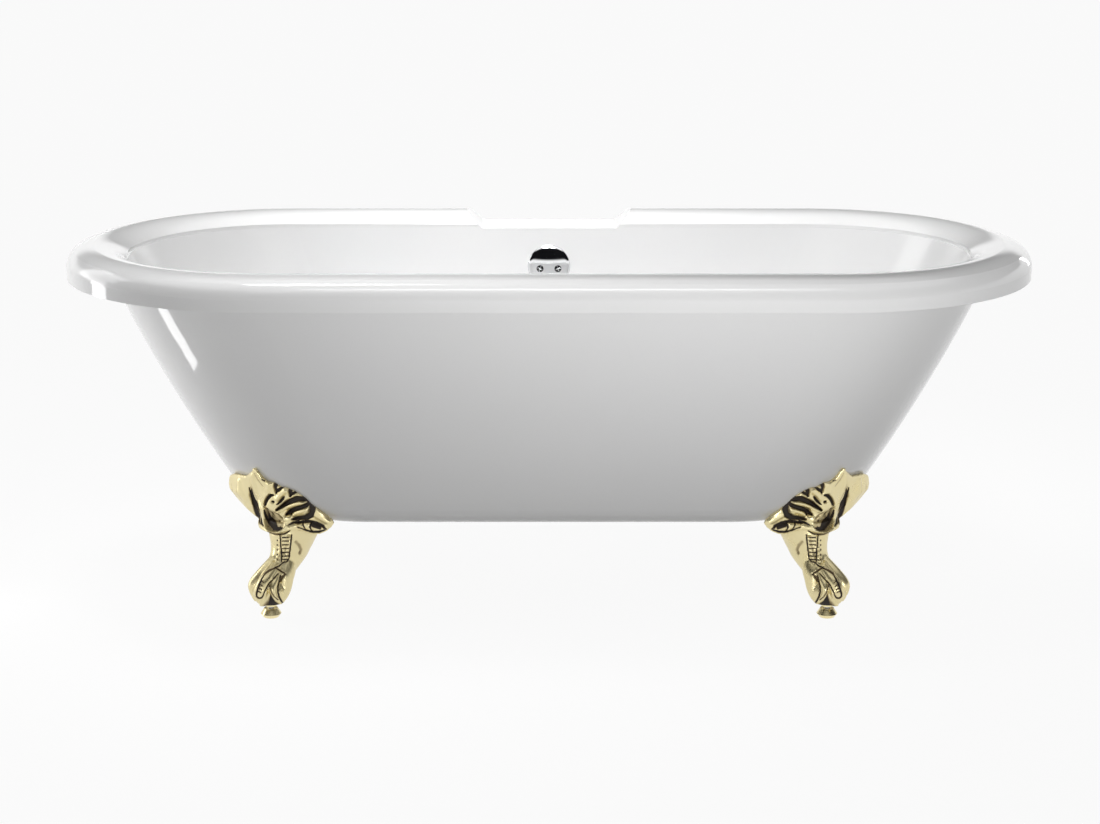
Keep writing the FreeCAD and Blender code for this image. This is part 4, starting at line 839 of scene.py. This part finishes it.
def finishCasting(mesh):
    # smooths the voxel steps, cuts the fine lines, seats the leaf on the skin and darkens the hollows with
    # patina and painted shade
    size = len(mesh.vertices)
    flat = np.empty(size * 3)
    mesh.vertices.foreach_get("co", flat)
    places = flat.reshape(-1, 3) / mm
    pairs = np.empty(len(mesh.edges) * 2, dtype=np.int64)
    mesh.edges.foreach_get("vertices", pairs)
    edges = pairs.reshape(-1, 2)
    count = np.bincount(edges.ravel(), minlength=size).astype(float)
    for rounds in range(leg["smoothing"]):
        places = places + 0.5 * (averageNeighbours(places, edges, count) - places)
    normals = np.empty(size * 3)
    mesh.vertices.foreach_get("normal", normals)
    normals = normals.reshape(-1, 3)
    place, out, side = footAxes()
    east = places[:, 0] - place[0]
    north = places[:, 1] - place[1]
    outwards = east * out[0] + north * out[1]
    sideways = east * side[0] + north * side[1]
    local = np.stack([outwards, sideways, places[:, 2]], axis=1)
    # the dimple on the shank
    deep, radius, patinaShade, points = leg["dimple"]
    best = np.full(size, np.inf)
    for first, second in zip(points, points[1:]):
        first, second = np.array(first), np.array(second)
        run = second - first
        share = np.clip(((local - first) @ run) / (run @ run), 0, 1)
        best = np.minimum(best, np.linalg.norm(local - first - share[:, None] * run, axis=1))
    profile = np.clip(1 - (best / radius) ** 2, 0, 1)
    places = places - normals * (deep * profile)[:, None]
    dark = patinaShade * profile
    # the fine lines
    turn, tip = (math.radians(angle) for angle in leg["seenFrom"])
    ray = np.array((-math.sin(turn) * math.cos(tip), math.cos(turn) * math.cos(tip), -math.sin(tip)))
    upright = np.array((-math.sin(turn) * math.sin(tip), math.cos(turn) * math.sin(tip), math.cos(tip)))
    fromContact = places - np.array((*place, 0))
    seenAcross = fromContact @ np.array((math.cos(turn), math.sin(turn), 0))
    seenUp = fromContact @ upright
    awayStart, awayRun = leg["turnedAway"]
    facing = np.clip((-normals @ ray - awayStart) / awayRun, 0, 1)
    drawn = np.zeros(size)
    sunkBy = np.zeros(size)
    for deep, patinaShade, points in leg["strokes"]:
        profile = strokeProfile(seenAcross, seenUp, points) * facing
        sunkBy = np.maximum(sunkBy, deep * profile)
        drawn = np.maximum(drawn, patinaShade * np.clip(profile * 2, 0, 1))
    # painted shade on the ball and in the gap between toe and ball
    for deep, patinaShade, soft, points in leg["paintedShadePatches"]:
        inside = insideOutline(seenAcross, seenUp, points)
        profile = inside * np.clip(edgeDistance(seenAcross, seenUp, points) / soft, 0, 1) * facing
        sunkBy = np.maximum(sunkBy, deep * profile)
        drawn = np.maximum(drawn, patinaShade * profile)
    kept = np.ones(size)
    for share, points in leg["shines"]:
        kept *= 1 - share * np.clip(strokeProfile(seenAcross, seenUp, points) * 2, 0, 1) * facing
    places = places - normals * sunkBy[:, None]
    # hollows at two scales
    calm = places
    # patina and painted shade in the creases, weaker on the claw
    creasePatinaShade = np.where(places[:, 2] > leg["clawTop"], leg["creasePatinaShade"], leg["clawPatinaShade"])
    for rounds in range(1, max(leg["creases"]) + 1):
        calm = calm + 0.5 * (averageNeighbours(calm, edges, count) - calm)
        if rounds in leg["creases"]:
            limit = leg["creases"][rounds]
            hollow = np.einsum("ij,ij->i", calm - places, normals)
            crease = np.clip((hollow - limit) / (limit * leg["creaseRun"]), 0, 1)
            dark = np.maximum(dark, crease * creasePatinaShade)
    # the leaf's own hollows
    bearingEast = places[:, 0] - leaf["axis"]
    outwards = bearingEast * out[0] + places[:, 1] * out[1]
    sideways = bearingEast * side[0] + places[:, 1] * side[1]
    bearing = np.arctan2(sideways, outwards)
    distance = np.hypot(outwards, sideways)
    across = bearing * leaf["turnRadius"]
    up = places[:, 2]
    plain = skinReach(bearing, up, False)[0]
    onLeaf = (up > leaf["lowEdge"] + 1) & (distance > plain + 1)
    relief = leafRelief(across, up)[1]
    dark = np.where(onLeaf, np.maximum(dark * 0.5, relief), dark)
    dark = np.maximum(dark, drawn) * kept
    # seat on the skin
    seated, dx, dy = skinReach(bearing, up, True)
    sunk = (up > skin["underside"] - 0.5) & (distance < seated + skin["clear"])
    places[:, 0] = np.where(sunk, leaf["axis"] + (seated + skin["clear"]) * dx, places[:, 0])
    places[:, 1] = np.where(sunk, (seated + skin["clear"]) * dy, places[:, 1])
    places[:, 2] = np.maximum(places[:, 2], leg["base"])
    mesh.vertices.foreach_set("co", (places * mm).ravel())
    attribute = mesh.attributes.new("patinaAndShade", "FLOAT", "POINT")
    attribute.data.foreach_set("value", dark)
    mesh.update()


def castFoot():
    place, out, side = footAxes()
    rows = [(out[0], side[0], 0, place[0]), (out[1], side[1], 0, place[1]), (0, 0, 1, 0), (0, 0, 0, 1)]
    footMatrix = Matrix(rows)
    bm = bmesh.new()
    addLeaf(bm)
    addLeg(bm, footMatrix)
    x, y, z, radius = leg["ball"]
    addLump(bm, footMatrix, (x, y, z), (radius,) * 3)
    for points in leg["limbs"].values():
        addLimb(bm, footMatrix, points)
    addBeads(bm, footMatrix)
    addKnuckles(bm, footMatrix)
    addTongue(bm, footMatrix)
    bmesh.ops.recalc_face_normals(bm, faces=bm.faces)
    bmesh.ops.scale(bm, verts=bm.verts, vec=(mm, mm, mm))
    mesh = bpy.data.meshes.new("footBlank")
    bm.to_mesh(mesh)
    bm.free()
    blank = bpy.data.objects.new("footBlank", mesh)
    bpy.context.scene.collection.objects.link(blank)
    remesh = blank.modifiers.new("skinned", "REMESH")
    remesh.mode = "VOXEL"
    remesh.voxel_size = leg["voxel"] * mm
    graph = bpy.context.evaluated_depsgraph_get()
    casting = bpy.data.meshes.new_from_object(blank.evaluated_get(graph))
    bpy.data.objects.remove(blank)
    bpy.data.meshes.remove(mesh)
    finishCasting(casting)
    print("foot casting:", len(casting.polygons), "faces")
    return casting


def makeFeet():
    casting = castFoot()
    castBrass = makeFootBrass("carvedBrass", True)
    for end, flipX in (("left", 1), ("right", -1)):
        for row, flipY in (("front", 1), ("back", -1)):
            name = "foot_%s_%s" % (row, end)
            bm = bmesh.new()
            bm.from_mesh(casting)
            bmesh.ops.scale(bm, verts=bm.verts, vec=(flipX, flipY, 1))
            bmesh.ops.recalc_face_normals(bm, faces=bm.faces)
            mesh = bpy.data.meshes.new("cast_" + name)
            bm.to_mesh(mesh)
            bm.free()
            mesh.materials.clear()
            mesh.materials.append(castBrass)
            mesh.polygons.foreach_set("use_smooth", [True] * len(mesh.polygons))
            foot = bpy.data.objects.new("cast_" + name, mesh)
            bpy.context.scene.collection.objects.link(foot)
            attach(foot, "bath")
            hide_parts(name)
    print("four claw feet")


# Overflow plate and its screws, in mm: across, and out from the basin wall along the overflow's own axis.
overflow = {
    "centre": (0, 261.9, 532),
    "tilt": 6.98,
    "sides": 96,
    "depth": 11,
    "domeRadius": 130,
    "domeEdge": 33,
    "bend": (40, 5),
    "rim": (40, 0.4),
    "wall": 2,
    "steps": 8,
}
tip = 0.05  # radius left at a turned shape's pole
screw = {
    "spots": [(-16.7, -4.4, 28), (16.7, -4.4, -24)],  # across, up, turn of the cross
    "shank": (2.4, -19),
    "headRadius": 6.4,
    "headFoot": 9.2,
    "headSide": 10.6,
    "headTop": 13,
    "sides": 64,
    "rings": 20,
    "armHalf": 1.05,
    "armReach": 4.6,
    "armDepth": 1.0,
    "edge": 0.3,
    # a painted dark reflection over the screw heads
    "dark": (0.02, 0.02, 0.022),
}


def overflowMatrix():
    # x across, y up along the basin wall, z out from it
    place = Matrix.Translation(Vector(overflow["centre"]) * mm)
    return place @ Matrix.Rotation(math.radians(90 - overflow["tilt"]), 4, "X") @ Matrix.Scale(mm, 4)


def addPiece(bm, name, material, node):
    bmesh.ops.transform(bm, matrix=overflowMatrix(), verts=bm.verts)
    bmesh.ops.recalc_face_normals(bm, faces=bm.faces)
    mesh = bpy.data.meshes.new(name)
    bm.to_mesh(mesh)
    bm.free()
    mesh.materials.append(material)
    mesh.polygons.foreach_set("use_smooth", [True] * len(mesh.polygons))
    piece = bpy.data.objects.new(name, mesh)
    bpy.context.scene.collection.objects.link(piece)
    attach(piece, "bath")
    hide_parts(node)


def turnProfile(bm, rows, sides, spot=(0, 0)):
    matrices = []
    for across, out in rows:
        matrices.append(Matrix.Translation((*spot, out)) @ Matrix.Diagonal((across, across, 1, 1)))
    addRings(bm, matrices, sides)


def makeOverflowPlate():
    edge, steps = overflow["domeEdge"], overflow["steps"]
    face = []
    for number in range(steps + 1):
        across = max(edge * number / steps, tip)
        face.append((across, overflow["depth"] - across * across / 2 / overflow["domeRadius"]))
    start, bend, rim = Vector(face[-1]), Vector(overflow["bend"]), Vector(overflow["rim"])
    for number in range(1, steps + 1):
        t = number / steps
        spot = start * (1 - t) ** 2 + bend * 2 * t * (1 - t) + rim * t * t
        face.append((spot.x, spot.y))
    wall = overflow["wall"]
    inside = [(max(across - wall, tip), out - wall) for across, out in reversed(face) if out > 2 * wall]
    inside.insert(0, (overflow["rim"][0] - wall, overflow["rim"][1]))
    bm = bmesh.new()
    turnProfile(bm, face + inside, overflow["sides"])
    addPiece(bm, "domedPlate", makeFinish("chrome"), "overflow_plate")


def makeScrews():
    radius, side, top = screw["headRadius"], screw["headSide"], screw["headTop"]
    shankRadius, shankEnd = screw["shank"]
    foot = screw["headFoot"]
    rows = [(tip, shankEnd), (shankRadius, shankEnd), (shankRadius, foot), (radius, foot)]
    for number in range(screw["rings"] + 1):
        across = max(radius * (1 - number / screw["rings"]), tip)
        rows.append((across, side + (top - side) * math.sqrt(1 - (across / radius) ** 2)))
    bm = bmesh.new()
    cross = bm.verts.layers.float.new("cross")
    for across, up, turn in screw["spots"]:
        before = set(bm.verts)
        turnProfile(bm, rows, screw["sides"], (across, up))
        swing = Matrix.Rotation(math.radians(turn), 2)
        for vert in bm.verts:
            if vert in before or vert.co.z < side:
                continue
            arm = swing @ Vector((vert.co.x - across, vert.co.y - up))
            narrow, reach = min(abs(arm.x), abs(arm.y)), max(abs(arm.x), abs(arm.y))
            inside = min(screw["armHalf"] - narrow, screw["armReach"] - reach) / screw["edge"]
            vert[cross] = min(max(inside + 0.5, 0), 1)
            vert.co.z -= screw["armDepth"] * vert[cross]
    addPiece(bm, "crossScrews", makeScrewPaintedReflection(), "overflow_screws")
    print("overflow plate and screws")


def makeScrewPaintedReflection():
    # bright chrome in the crossed recess, with a painted dark reflection over the rest of the head
    material = makeFinish("chrome")
    tree = material.node_tree
    shader = next(node for node in tree.nodes if node.type == "BSDF_PRINCIPLED")
    mask = tree.nodes.new("ShaderNodeAttribute")
    mask.attribute_name = "cross"
    bright = shader.inputs["Base Color"].links[0].from_socket
    # painted dark reflection on the head, bright chrome in the cross
    colour = blendColours(tree, mask.outputs["Fac"], screw["dark"], bright)
    tree.links.new(colour, shader.inputs["Base Color"])
    return material


makeCamera()
makeStudio()
makeLamps()
makeFloor()
grainGroup = makeGrainGroup()
dressFrame()
makeFeet()
makeOverflowPlate()
makeScrews()
